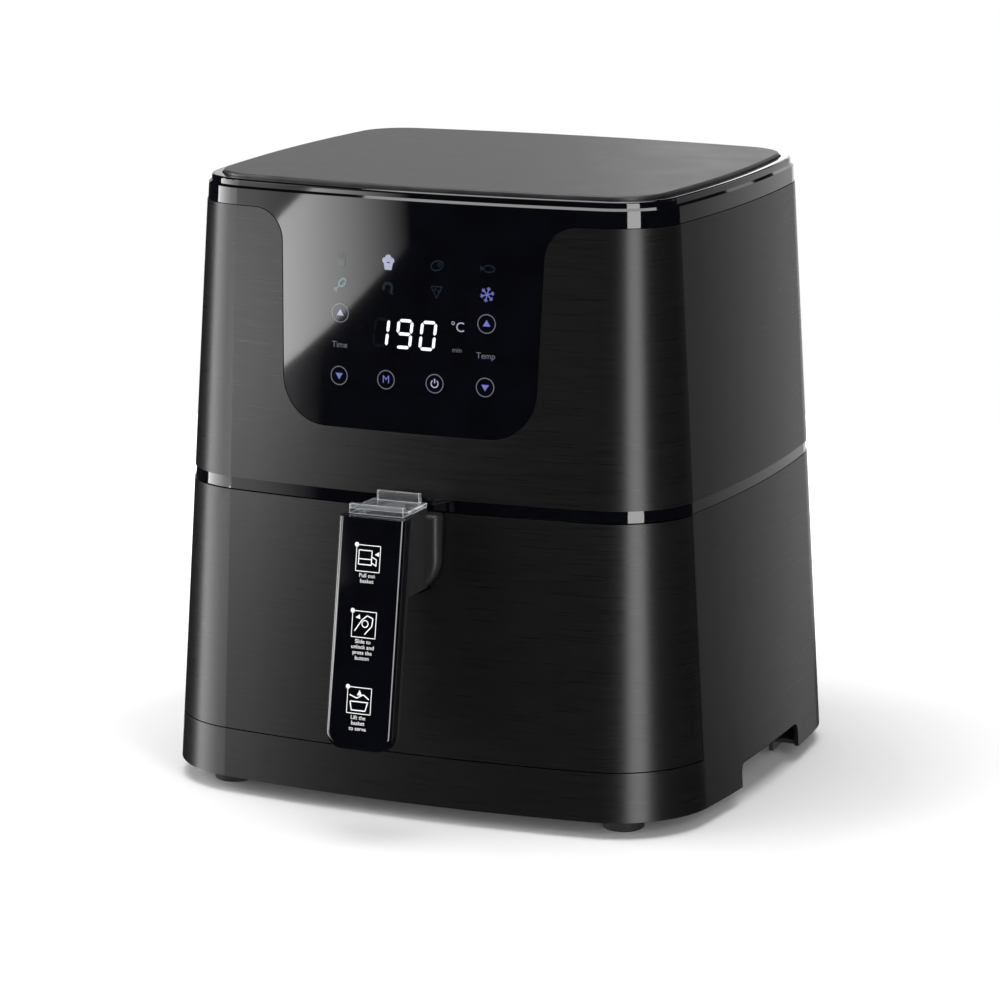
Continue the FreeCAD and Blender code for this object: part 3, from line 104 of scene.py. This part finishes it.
def map_range(tree, source, low, high, start=0.0, stop=1.0):
    node = tree.nodes.new("ShaderNodeMapRange")
    node.inputs["From Min"].default_value = start
    node.inputs["From Max"].default_value = stop
    node.inputs["To Min"].default_value = low
    node.inputs["To Max"].default_value = high
    tree.links.new(source, node.inputs["Value"])
    return node


def bump(tree, source, shader, strength, distance):
    node = tree.nodes.new("ShaderNodeBump")
    node.inputs["Strength"].default_value = strength
    node.inputs["Distance"].default_value = distance
    tree.links.new(source, node.inputs["Height"])
    tree.links.new(node.outputs["Normal"], shader.inputs["Normal"])


# One surface: colour between two tones, roughness between two values, and relief, all from one noise.
def surface(name, low, high, rough, scale, stretch=EVEN, metallic=0.0, relief=0.1, depth=0.00005,
            coat=0.0, specular=0.5):
    mat, tree, shader = new_material(name)
    noise = stretched_noise(tree, scale, stretch)
    colour = ramp(tree, noise.outputs["Fac"], low, high)
    tree.links.new(colour.outputs["Color"], shader.inputs["Base Color"])
    spread = map_range(tree, noise.outputs["Fac"], rough[0], rough[1])
    tree.links.new(spread.outputs["Result"], shader.inputs["Roughness"])
    bump(tree, noise.outputs["Fac"], shader, relief, depth)
    shader.inputs["Metallic"].default_value = metallic
    shader.inputs["Coat Weight"].default_value = coat
    shader.inputs["Coat Roughness"].default_value = COAT_ROUGHNESS
    shader.inputs["Specular IOR Level"].default_value = specular
    return mat


brushed = surface("brushed_black", (0.0030, 0.0030, 0.0031), (0.0058, 0.0058, 0.0060), (0.23, 0.36), 1.0,
                  stretch=(36, 36, 2200), relief=0.07, depth=0.0001, specular=0.4)
gloss = surface("gloss_black", (0.0008, 0.0009, 0.0016), (0.0014, 0.0016, 0.0030), (0.025, 0.04), 60.0,
                relief=0.015, coat=GLOSS_COAT)
panel = surface("satin_top", (0.011, 0.011, 0.012), (0.050, 0.050, 0.052), (0.31, 0.49), 44.0,
                relief=0.06, depth=0.0001)
plastic = surface("moulded_black", (0.008, 0.008, 0.009), (0.017, 0.017, 0.018), (0.38, 0.55), 900.0,
                  relief=0.2)
rubber = surface("foot_rubber", (0.009, 0.009, 0.009), (0.020, 0.020, 0.020), (0.65, 0.85), 500.0,
                 relief=0.25, depth=0.0001)
zinc = surface("zinc_steel", (0.42, 0.42, 0.43), (0.62, 0.62, 0.61), (0.22, 0.4), 260.0, metallic=1.0)
liner = surface("liner_steel", (0.40, 0.40, 0.41), (0.56, 0.56, 0.56), (0.26, 0.42), 1.0,
                stretch=(700, 20, 20), metallic=1.0, relief=0.12)
coating = surface("non_stick", (0.020, 0.020, 0.021), (0.045, 0.045, 0.047), (0.3, 0.45), 1400.0,
                  relief=0.25, depth=0.00004)
heated = surface("element_steel", (0.10, 0.09, 0.085), (0.24, 0.21, 0.19), (0.35, 0.55), 90.0,
                 metallic=1.0, depth=0.0001)
runner = surface("runner_grey", (0.24, 0.24, 0.25), (0.32, 0.32, 0.33), (0.4, 0.55), 500.0, relief=0.15)
ceramic = surface("ceramic", (0.70, 0.68, 0.64), (0.82, 0.80, 0.76), (0.35, 0.5), 300.0)
iron = surface("laminated_iron", (0.16, 0.16, 0.17), (0.33, 0.33, 0.34), (0.4, 0.6), 1.0,
               stretch=(6, 6, 2600), metallic=0.9, relief=0.5, depth=0.0002)
board = surface("solder_mask", (0.012, 0.075, 0.030), (0.022, 0.12, 0.05), (0.25, 0.4), 220.0,
                relief=0.2, depth=0.0001)
lens = surface("display_dark", (0.008, 0.008, 0.010), (0.016, 0.016, 0.02), (0.12, 0.22), 300.0, relief=0.05)
button_grey = surface("button_grey", (0.26, 0.26, 0.27), (0.36, 0.36, 0.37), (0.35, 0.5), 700.0, relief=0.15)
clear = surface("clear_plastic", (0.80, 0.83, 0.86), (0.92, 0.94, 0.96), (0.04, 0.10), 180.0, relief=0.04)


# The guard's edges let little light through where the moulding turns, so its pale base colour shows there as
# a painted edge highlight; it is clear between them.
CLEAR_INDEX = 1.49
EDGE_RADIUS = 0.0009
EDGE_CLARITY = (0.10, 0.95)
EDGE_TURN = (0.86, 0.995)


def painted_edge_highlight(mat):
    tree = mat.node_tree
    shader = tree.nodes["Principled BSDF"]
    shader.inputs["IOR"].default_value = CLEAR_INDEX
    rounded = tree.nodes.new("ShaderNodeBevel")
    rounded.inputs["Radius"].default_value = EDGE_RADIUS
    facing = tree.nodes.new("ShaderNodeNewGeometry")
    turning = tree.nodes.new("ShaderNodeVectorMath")
    turning.operation = "DOT_PRODUCT"
    tree.links.new(rounded.outputs["Normal"], turning.inputs[0])
    tree.links.new(facing.outputs["Normal"], turning.inputs[1])
    # Less light passes where the surface turns, so the pale base colour paints a highlight along the edges.
    clarity = map_range(tree, turning.outputs["Value"], *EDGE_CLARITY, *EDGE_TURN)
    tree.links.new(clarity.outputs["Result"], shader.inputs["Transmission Weight"])


painted_edge_highlight(clear)

LOOKS = {
    brushed: ("upper_shell", "lower_shell", "drawer_front"),
    gloss: ("trim_ring", "control_fascia", "top_rim", "handle_front", "notch_bezel"),
    panel: ("top_panel",),
    plastic: ("base_tray", "rear_grille", "front_frame", "handle_neck", "handle_back", "drawer_back",
              "exhaust_duct", "interlock_switch", "cooling_fan", "thermal_cutout"),
    rubber: ("rubber_feet", "cord_gland"),
    zinc: ("base_screws", "pan_rivets", "handle_screws", "fan_nut", "motor_bracket", "release_spring",
           "motor_shaft"),
    liner: ("cavity_liner", "air_dome", "element_guard", "convection_fan", "temperature_probe"),
    coating: ("pan", "basket", "basket_grate", "basket_bracket"),
    heated: ("heating_element",),
    runner: ("pan_runners", "latch_bolt", "switch_plunger"),
    ceramic: ("element_collars",),
    iron: ("stator_stack", "motor_frame"),
    board: ("control_board", "power_board"),
    lens: ("display_module", "touch_pads"),
    clear: ("release_guard",),
    button_grey: ("release_button",),
}
for mat, names in LOOKS.items():
    for name in names:
        obj = nodes[name]
        obj.data.materials.clear()
        obj.data.materials.append(mat)


# The release spring as a coil, its end turns closer than the others.
COIL_TURNS = 5
COIL_SIDES = 12
COIL_STEPS = 24
COIL_WIRE = 0.00045


def release_coil():
    low, high = (Vector(corner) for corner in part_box("release_spring"))
    middle = (low + high) / 2
    radius = (high.x - low.x) / 2 - COIL_WIRE
    start = low.z + COIL_WIRE
    rise = high.z - low.z - 2 * COIL_WIRE
    count = COIL_TURNS * COIL_STEPS
    verts = []
    for step in range(count + 1):
        share = step / count
        angle = 2 * math.pi * COIL_TURNS * share
        height = start + rise * (share - math.sin(2 * math.pi * share) / (4 * math.pi))
        for side in range(COIL_SIDES):
            around = 2 * math.pi * side / COIL_SIDES
            reach = radius + COIL_WIRE * math.cos(around)
            verts.append((middle.x + reach * math.cos(angle), middle.y + reach * math.sin(angle),
                          height + COIL_WIRE * math.sin(around)))
    last = count * COIL_SIDES
    faces = [tuple(reversed(range(COIL_SIDES))), tuple(range(last, last + COIL_SIDES))]
    for step in range(count):
        first = step * COIL_SIDES
        for side in range(COIL_SIDES):
            after = (side + 1) % COIL_SIDES
            faces.append((first + side, first + after, first + COIL_SIDES + after, first + COIL_SIDES + side))
    mesh = bpy.data.meshes.new("release_coil")
    mesh.from_pydata(verts, [], faces)
    for face in mesh.polygons:
        face.use_smooth = True
    mesh.materials.append(zinc)
    coil = bpy.data.objects.new("release_coil", mesh)
    bpy.context.collection.objects.link(coil)
    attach(coil, "drawer")
    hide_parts("release_spring")
    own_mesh(coil)


release_coil()


# Printed and lit signs: flat figures in millimetres, laid on the surface that carries them.
GLOW_LOW = 0.82
GLOW_GRAIN = 700.0
GLOW_ROUGHNESS = 0.035


def glow(name, colour, strength):
    mat, tree, shader = new_material(name)
    noise = stretched_noise(tree, GLOW_GRAIN, EVEN, PLAIN_DETAIL)
    tone = ramp(tree, noise.outputs["Fac"], tuple(c * GLOW_LOW for c in colour), colour)
    tree.links.new(tone.outputs["Color"], shader.inputs["Base Color"])
    tree.links.new(tone.outputs["Color"], shader.inputs["Emission Color"])
    shader.inputs["Emission Strength"].default_value = strength
    shader.inputs["Roughness"].default_value = GLOW_ROUGHNESS
    shader.inputs["Coat Weight"].default_value = GLOSS_COAT
    shader.inputs["Coat Roughness"].default_value = COAT_ROUGHNESS
    return mat


lit_white = glow("lit_white", (0.62, 0.63, 0.68), 0.9)
lit_blue = glow("lit_blue", (0.095, 0.10, 0.30), 0.55)
lit_pale = glow("lit_pale", (0.22, 0.23, 0.32), 0.6)
lit_grey = glow("lit_grey", (0.085, 0.088, 0.115), 0.5)
lit_dim = glow("lit_dim", (0.0065, 0.0100, 0.0150), 0.7)
lit_teal = glow("lit_teal", (0.045, 0.085, 0.090), 0.5)
# The unlit segments get a faint painted glow, though no light is behind them.
ghost = glow("unlit_segment", (0.0030, 0.0034, 0.0050), 0.5)
print_white = surface("print_white", (0.70, 0.70, 0.71), (0.86, 0.86, 0.87), (0.4, 0.55), 900.0,
                      depth=0.00003)


def disc(u, v, r, count=28):
    angles = [2 * math.pi * k / count for k in range(count)]
    return [[(u + r * math.cos(a), v + r * math.sin(a)) for a in angles]]


def loop(u, v, ru, rv, width, turn=0.0, start=0.0, stop=360.0, count=36):
    inner = []
    outer = []
    c, s = math.cos(math.radians(turn)), math.sin(math.radians(turn))
    for k in range(count + 1):
        a = math.radians(start + (stop - start) * k / count)
        for path, grow in ((inner, -width / 2), (outer, width / 2)):
            du, dv = (ru + grow) * math.cos(a), (rv + grow) * math.sin(a)
            path.append((u + c * du - s * dv, v + s * du + c * dv))
    return [[inner[k], outer[k], outer[k + 1], inner[k + 1]] for k in range(count)]


def stroke(points, width):
    faces = []
    for (u0, v0), (u1, v1) in zip(points, points[1:]):
        length = math.hypot(u1 - u0, v1 - v0)
        nu, nv = -(v1 - v0) / length * width / 2, (u1 - u0) / length * width / 2
        faces.append([(u0 + nu, v0 + nv), (u0 - nu, v0 - nv), (u1 - nu, v1 - nv), (u1 + nu, v1 + nv)])
    for u, v in points[1:-1]:
        faces += disc(u, v, width / 2, 10)
    return faces


def frame_square(u, v, h, width):
    corners = [(u - h, v - h), (u + h, v - h), (u + h, v + h), (u - h, v + h)]
    faces = []
    for k in range(4):
        faces += stroke([corners[k], corners[(k + 1) % 4]], width)
    return faces + [f for c in corners for f in disc(c[0], c[1], width / 2, 8)]


def words(text, u, v, size):
    curve = bpy.data.curves.new("words", "FONT")
    curve.body = text
    curve.size = size
    curve.align_x = "CENTER"
    curve.align_y = "CENTER"
    curve.resolution_u = 3
    holder = bpy.data.objects.new("words", curve)
    bpy.context.collection.objects.link(holder)
    bpy.context.view_layer.update()
    mesh = bpy.data.meshes.new_from_object(holder)
    faces = []
    for poly in mesh.polygons:
        faces.append([(u + mesh.vertices[i].co.x, v + mesh.vertices[i].co.y) for i in poly.vertices])
    bpy.data.objects.remove(holder)
    bpy.data.curves.remove(curve)
    bpy.data.meshes.remove(mesh)
    return faces


def on_fascia(u, v):
    x, z = u / MM_PER_METRE, v / MM_PER_METRE
    return (x, front_y(x, z, FASCIA_INSET) - PRINT_LIFT, z)


def on_handle(u, v):
    down = -v / MM_PER_METRE
    y = HANDLE_FRONT_Y - down * math.sin(HANDLE_TILT) - PRINT_LIFT * math.cos(HANDLE_TILT)
    return (u / MM_PER_METRE, y, HANDLE_TOP_Z - down * math.cos(HANDLE_TILT))


def sign(name, faces, place, mat, body):
    verts = []
    polys = []
    for face in faces:
        polys.append(list(range(len(verts), len(verts) + len(face))))
        verts += [place(u, v) for u, v in face]
    mesh = bpy.data.meshes.new(name)
    mesh.from_pydata(verts, [], polys)
    mesh.validate()
    mesh.materials.append(mat)
    obj = bpy.data.objects.new(name, mesh)
    bpy.context.collection.objects.link(obj)
    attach(obj, body)


# Seven-segment digits with slanted bars; the bars have their usual letters.
DIGITS = {"0": "abcdef", "1": "bc", "9": "abcdfg"}
GHOST_BARS = "adef"
DIGIT_PLACES = (("1", -14.6), ("9", -1.5), ("0", 11.6))
DIGIT_V = 251.2
DIGIT_WIDTH = 7.4
DIGIT_HEIGHT = 13.6
DIGIT_BAR = 1.6
DIGIT_GAP = 0.35
DIGIT_SLANT = 0.1


def digit(letters, u, v):
    h = DIGIT_HEIGHT / 2
    w = DIGIT_WIDTH / 2
    t = DIGIT_BAR / 2
    g = DIGIT_GAP
    bars = {"a": ((-w, h), (w, h)), "g": ((-w, 0), (w, 0)), "d": ((-w, -h), (w, -h)), "b": ((w, 0), (w, h)),
            "c": ((w, -h), (w, 0)), "f": ((-w, 0), (-w, h)), "e": ((-w, -h), (-w, 0))}
    faces = []
    for letter in letters:
        (u0, v0), (u1, v1) = bars[letter]
        if v0 == v1:
            shape = [(u0 + g, v0), (u0 + g + t, v0 + t), (u1 - g - t, v0 + t), (u1 - g, v0),
                     (u1 - g - t, v0 - t), (u0 + g + t, v0 - t)]
        else:
            shape = [(u0, v0 + g), (u0 - t, v0 + g + t), (u0 - t, v1 - g - t), (u0, v1 - g),
                     (u0 + t, v1 - g - t), (u0 + t, v0 + g + t)]
        faces.append([(u + a + b * DIGIT_SLANT, v + b) for a, b in shape])
    return faces


# Touch signs on the fascia.
COLUMNS = (-38.2, -11.3, 15.9, 43.4)
FOOD_ROW = 287.0
SECOND_ROW = 274.0
UP_ROW = 259.3
WORD_ROW = 243.0
DOWN_ROW = 227.2
UNIT_U = 27.8
DEGREE_V = 256.5
MINUTE_V = 245.0
MODE_SIZE = 5.6
WORD_SIZE = 4.4
DEGREE_SIZE = 7.0
MINUTE_SIZE = 3.6
RING = 4.7
RING_WIDTH = 0.5


def arrow(u, v, way):
    return [[(u - 2.1, v - 1.3 * way), (u + 2.1, v - 1.3 * way), (u, v + 2.0 * way)]]


def power_mark(u, v):
    return loop(u, v, 1.9, 1.9, 0.6, 0, 125, 415) + stroke([(u, v + 0.2), (u, v + 2.6)], 0.6)


def cupcake(u, v):
    base = [[(u - 2.6, v - 0.4), (u - 1.9, v - 3.9), (u + 1.9, v - 3.9), (u + 2.6, v - 0.4)]]
    return base + disc(u - 1.9, v + 0.9, 1.5) + disc(u + 1.9, v + 0.9, 1.5) + disc(u, v + 2.0, 1.9)


def fan_mark(u, v):
    faces = disc(u, v, 0.7)
    for k in range(6):
        a = math.radians(60 * k + 15)
        tip = (u + 3.9 * math.cos(a), v + 3.9 * math.sin(a))
        mid = (u + 2.4 * math.cos(a), v + 2.4 * math.sin(a))
        faces += stroke([(u, v), tip], 0.6)
        for side in (-0.9, 0.9):
            b = a + side
            faces += stroke([mid, (mid[0] + 1.3 * math.cos(b), mid[1] + 1.3 * math.sin(b))], 0.5)
    return faces


def drumstick(u, v):
    faces = loop(u + 0.9, v + 0.9, 2.4, 1.5, 1.2, 45)
    faces += stroke([(u - 0.8, v - 0.8), (u - 2.8, v - 2.8)], 0.9)
    return faces + disc(u - 3.3, v - 2.6, 0.75) + disc(u - 2.6, v - 3.3, 0.75)


def fish(u, v):
    tail = [[(u - 2.2, v), (u - 4.1, v + 1.6), (u - 4.1, v - 1.6)]]
    return loop(u + 0.7, v, 3.0, 1.7, 0.6) + tail + disc(u + 2.2, v + 0.4, 0.35, 10)


def fries(u, v):
    cup = [[(u - 2.4, v - 0.2), (u - 1.7, v - 3.6), (u + 1.7, v - 3.6), (u + 2.4, v - 0.2)]]
    sticks = []
    for k in (-1.8, -0.6, 0.6, 1.8):
        sticks += stroke([(u + k * 0.9, v), (u + k * 1.25, v + 3.4 - abs(k) * 0.4)], 0.7)
    return cup + sticks


def steak(u, v):
    return loop(u, v, 3.4, 2.3, 0.65, 20) + loop(u + 1.2, v + 0.5, 0.8, 0.8, 0.5)


def slice_mark(u, v):
    edge = [(u - 3.0, v + 2.4), (u + 3.0, v + 2.4), (u, v - 3.4), (u - 3.0, v + 2.4)]
    return stroke(edge, 0.6) + disc(u - 0.7, v + 0.9, 0.6, 12) + disc(u + 0.9, v + 0.1, 0.5, 12)


def shrimp(u, v):
    return loop(u, v, 2.4, 2.4, 1.5, 0, -60, 210) + stroke([(u + 1.3, v - 2.2), (u + 3.2, v - 3.2)], 0.8)


def lit(name, faces, mat):
    sign(name, faces, on_fascia, mat, "housing")


lit("sign_cupcake", cupcake(COLUMNS[1], FOOD_ROW), lit_pale)
lit("sign_fan", fan_mark(COLUMNS[3], SECOND_ROW), lit_blue)
lit("sign_drumstick", drumstick(COLUMNS[0], SECOND_ROW), lit_teal)
dim_faces = fries(COLUMNS[0], FOOD_ROW) + steak(COLUMNS[2], FOOD_ROW) + fish(COLUMNS[3], FOOD_ROW)
dim_faces += shrimp(COLUMNS[1], SECOND_ROW) + slice_mark(COLUMNS[2], SECOND_ROW)
lit("sign_dim_row", dim_faces, lit_dim)
lit("sign_time_up", arrow(COLUMNS[0], UP_ROW, 1), lit_pale)
lit("sign_temp_up", arrow(COLUMNS[3], UP_ROW, 1), lit_blue)
lit("sign_time_down", arrow(COLUMNS[0], DOWN_ROW, -1), lit_blue)
lit("sign_temp_down", arrow(COLUMNS[3], DOWN_ROW, -1), lit_blue)
lit("sign_mode", words("M", COLUMNS[1], DOWN_ROW, MODE_SIZE), lit_blue)
lit("sign_power", power_mark(COLUMNS[2], DOWN_ROW), lit_pale)
ring_places = [(COLUMNS[0], UP_ROW), (COLUMNS[3], UP_ROW)] + [(column, DOWN_ROW) for column in COLUMNS]
rings = [face for u, v in ring_places for face in loop(u, v, RING, RING, RING_WIDTH)]
lit("sign_rings", rings, lit_grey)
lit("sign_time_word", words("Time", COLUMNS[0], WORD_ROW, WORD_SIZE), lit_grey)
lit("sign_temp_word", words("Temp", COLUMNS[3], WORD_ROW, WORD_SIZE), lit_grey)
lit("sign_degree", words("°C", UNIT_U, DEGREE_V, DEGREE_SIZE), lit_pale)
lit("sign_minutes", words("min", UNIT_U, MINUTE_V, MINUTE_SIZE), lit_grey)
shown = [face for name, u in DIGIT_PLACES for face in digit(DIGITS[name], u, DIGIT_V)]
lit("display_digits", shown, lit_white)
lit("display_ghost", digit(GHOST_BARS, DIGIT_PLACES[0][1], DIGIT_V), ghost)


# Generic how-to drawings on the handle, printed in white.
FRAME_HALF = 6.6
FRAME_LINE = 0.38
FRAME_DOT = 1.2
TEXT_DROP = 2.1
TEXT_SIZE = 2.9
TEXT_PITCH = 2.8
PULL_V = -20.0
SLIDE_V = -53.3
LIFT_V = -91.8


def how_to(name, v, inner, lines):
    faces = frame_square(0, v, FRAME_HALF, FRAME_LINE)
    faces += disc(-FRAME_HALF, v + FRAME_HALF, FRAME_DOT, 16) + inner
    low = v - FRAME_HALF - TEXT_DROP
    for text in lines:
        faces += words(text, 0, low, TEXT_SIZE)
        low -= TEXT_PITCH
    sign(name, faces, on_handle, print_white, "drawer")


def pull_drawing(v):
    faces = frame_square(-1.6, v + 0.4, 3.6, 0.5) + stroke([(-5.2, v - 0.4), (2.0, v - 0.4)], 0.5)
    faces += stroke([(2.0, v - 2.0), (4.6, v - 3.4), (4.6, v - 0.2), (2.0, v + 1.0)], 0.5)
    return faces + [[(3.6, v + 2.2), (6.0, v + 3.8), (6.0, v + 1.4)]]


def slide_drawing(v):
    hand = [(-5.0, v - 3.6), (-1.2, v + 2.2), (1.6, v + 4.6), (4.8, v + 3.4), (4.4, v - 0.6), (0.6, v - 5.0)]
    faces = stroke(hand, 0.55)
    faces += loop(0.6, v + 0.4, 1.7, 1.7, 0.5)
    return faces + [[(-4.8, v + 3.2), (-2.6, v + 5.0), (-2.2, v + 2.6)]]


def lift_drawing(v):
    faces = stroke([(-5.0, v - 0.6), (-4.0, v - 5.0), (3.6, v - 5.0), (4.8, v - 0.6), (-5.0, v - 0.6)], 0.55)
    faces += stroke([(-5.4, v + 2.6), (-1.4, v + 1.2), (2.2, v + 3.2), (5.4, v + 1.0)], 0.55)
    return faces + [[(-1.4, v + 2.6), (0.0, v + 5.4), (1.4, v + 2.6)]]


how_to("print_pull", PULL_V, pull_drawing(PULL_V), ("Pull out", "basket"))
how_to("print_slide", SLIDE_V, slide_drawing(SLIDE_V), ("Slide to", "unlock and", "press the", "button"))
how_to("print_lift", LIFT_V, lift_drawing(LIFT_V), ("Lift the", "basket", "to serve"))


# Stage: a pale floor, glowing less near the part as a painted shadow and brighter towards its edge, soft
# boxes and the camera at the photograph's angle.
FLOOR_RINGS = (0.25, 0.5, 0.75, 1.0)
FLOOR_SIDES = 96
FLOOR_GRAIN = 3.0
FLOOR_TONES = ((0.90, 0.90, 0.90), (0.92, 0.92, 0.92))
FLOOR_ROUGHNESS = 0.9
# Floor glow, low near the part as a painted shadow and high at the edge, over these radii.
FLOOR_GLOW_AND_PAINTED_SHADOW = (0.03, 0.6)
FLOOR_PAINTED_SHADOW_RADII = (0.22, 0.62)


def floor():
    count = FLOOR_SIDES
    angles = [2 * math.pi * k / count for k in range(count)]
    verts = [(0.0, 0.0, 0.0)]
    faces = []
    for r in FLOOR_RINGS:
        verts += [(r * math.cos(a), r * math.sin(a), 0.0) for a in angles]
    for k in range(count):
        faces.append((0, 1 + k, 1 + (k + 1) % count))
    for i in range(len(FLOOR_RINGS) - 1):
        low = 1 + i * count
        for k in range(count):
            n = (k + 1) % count
            faces.append((low + k, low + count + k, low + count + n, low + n))
    mesh = bpy.data.meshes.new("floor")
    mesh.from_pydata(verts, [], faces)
    mat, tree, shader = new_material("pale_floor")
    noise = stretched_noise(tree, FLOOR_GRAIN, EVEN, PLAIN_DETAIL)
    tone = ramp(tree, noise.outputs["Fac"], *FLOOR_TONES)
    tree.links.new(tone.outputs["Color"], shader.inputs["Base Color"])
    shader.inputs["Roughness"].default_value = FLOOR_ROUGHNESS
    shader.inputs["Specular IOR Level"].default_value = 0.0
    shader.inputs["Emission Color"].default_value = WHITE
    coord = tree.nodes.new("ShaderNodeTexCoord")
    reach = tree.nodes.new("ShaderNodeVectorMath")
    reach.operation = "LENGTH"
    tree.links.new(coord.outputs["Object"], reach.inputs[0])
    # The floor glows less near the part: a painted shadow round its base, fading out towards the edge.
    painted_shadow_glow = map_range(tree, reach.outputs["Value"], *FLOOR_GLOW_AND_PAINTED_SHADOW, *FLOOR_PAINTED_SHADOW_RADII)
    tree.links.new(painted_shadow_glow.outputs["Result"], shader.inputs["Emission Strength"])
    mesh.materials.append(mat)
    obj = bpy.data.objects.new("floor", mesh)
    bpy.context.collection.objects.link(obj)
    obj.visible_glossy = False
    obj.visible_shadow = False


# Direction from the part towards an azimuth and elevation, from the front and the floor.
def outward(azimuth, elevation):
    level = math.cos(elevation)
    return Vector((math.sin(azimuth) * level, -math.cos(azimuth) * level, math.sin(elevation)))


# One soft box aimed at the middle of the part; fade gives its brightness at its two sides.
LIGHT_TARGET = Vector((0.0, 0.02, 0.16))


def soft_box(name, azimuth, elevation, distance, width, height, power, roll=0.0, fade=None):
    light = bpy.data.lights.new(name, "AREA")
    light.shape = "RECTANGLE"
    light.size = width
    light.size_y = height
    light.energy = power
    if fade is not None:
        light.use_nodes = True
        tree = light.node_tree
        place = tree.nodes.new("ShaderNodeNewGeometry")
        across = tree.nodes.new("ShaderNodeSeparateXYZ")
        tree.links.new(place.outputs["Parametric"], across.inputs["Vector"])
        level = map_range(tree, across.outputs["X"], fade[0], fade[1])
        tree.links.new(level.outputs["Result"], tree.nodes["Emission"].inputs["Strength"])
    obj = bpy.data.objects.new(name, light)
    bpy.context.collection.objects.link(obj)
    away = outward(math.radians(azimuth), math.radians(elevation)) * distance
    obj.location = LIGHT_TARGET + away
    obj.rotation_euler = (-away).to_track_quat("-Z", "Y").to_euler()
    obj.rotation_euler.rotate_axis("Z", math.radians(roll))


floor()
# Name, azimuth, elevation, distance, width, height and power, then roll and fade.
soft_box("box_left", -59.0, 8.0, 1.7, 1.74, 2.0, 50.0, 0.0, (1.5, 0.0))
soft_box("box_front_left", -36.5, 0.4, 1.7, 0.8, 0.14, 2.2, 17.0, (1.9, 0.0))
soft_box("box_right_strip", 48.0, 4.0, 1.2, 0.42, 1.4, 11.5)
soft_box("box_rear_right", 154.0, 4.0, 2.4, 1.4, 2.0, 3.6, 0.0, (0.25, 1.7))
soft_box("box_rear_left", -150.0, 16.0, 2.6, 1.6, 0.8, 3.2)
soft_box("box_rear", 186.0, 3.0, 2.0, 1.0, 1.3, 4.0)
soft_box("box_top", 0.0, 88.0, 2.2, 2.2, 2.2, 60.0)

# The backdrop is white to the camera and dim to the surfaces.
AMBIENT = 0.014
BACKDROP = 1.0
world = bpy.data.worlds.new("studio")
bpy.context.scene.world = world
world.use_nodes = True
sky = world.node_tree.nodes["Background"]
sky.inputs["Color"].default_value = WHITE
sky.inputs["Strength"].default_value = AMBIENT
white = world.node_tree.nodes.new("ShaderNodeBackground")
white.inputs["Color"].default_value = WHITE
white.inputs["Strength"].default_value = BACKDROP
path = world.node_tree.nodes.new("ShaderNodeLightPath")
mix = world.node_tree.nodes.new("ShaderNodeMixShader")
links = world.node_tree.links
links.new(path.outputs["Is Camera Ray"], mix.inputs[0])
links.new(sky.outputs["Background"], mix.inputs[1])
links.new(white.outputs["Background"], mix.inputs[2])
links.new(mix.outputs["Shader"], world.node_tree.nodes["World Output"].inputs["Surface"])
bpy.context.scene.view_settings.view_transform = "Standard"

# Camera as solved from the outline in the photograph.
AZIMUTH = math.radians(24.0026)
ELEVATION = math.radians(12.3759)
DISTANCE = 2.1917
AIM_SIDE = -0.0028822
AIM_HEIGHT = 0.140733
SENSOR = 36.0
FOCAL = 146.46
right = Vector((math.cos(AZIMUTH), math.sin(AZIMUTH), 0.0))
aim = right * AIM_SIDE + Vector((0.0, SHIFT_Y, AIM_HEIGHT))
back = outward(AZIMUTH, ELEVATION)
lens_data = bpy.data.cameras.new("camera")
lens_data.sensor_width = SENSOR
lens_data.lens = FOCAL
camera = bpy.data.objects.new("camera", lens_data)
bpy.context.collection.objects.link(camera)
camera.location = aim + back * DISTANCE
camera.rotation_euler = (-back).to_track_quat("-Z", "Y").to_euler()
bpy.context.scene.camera = camera
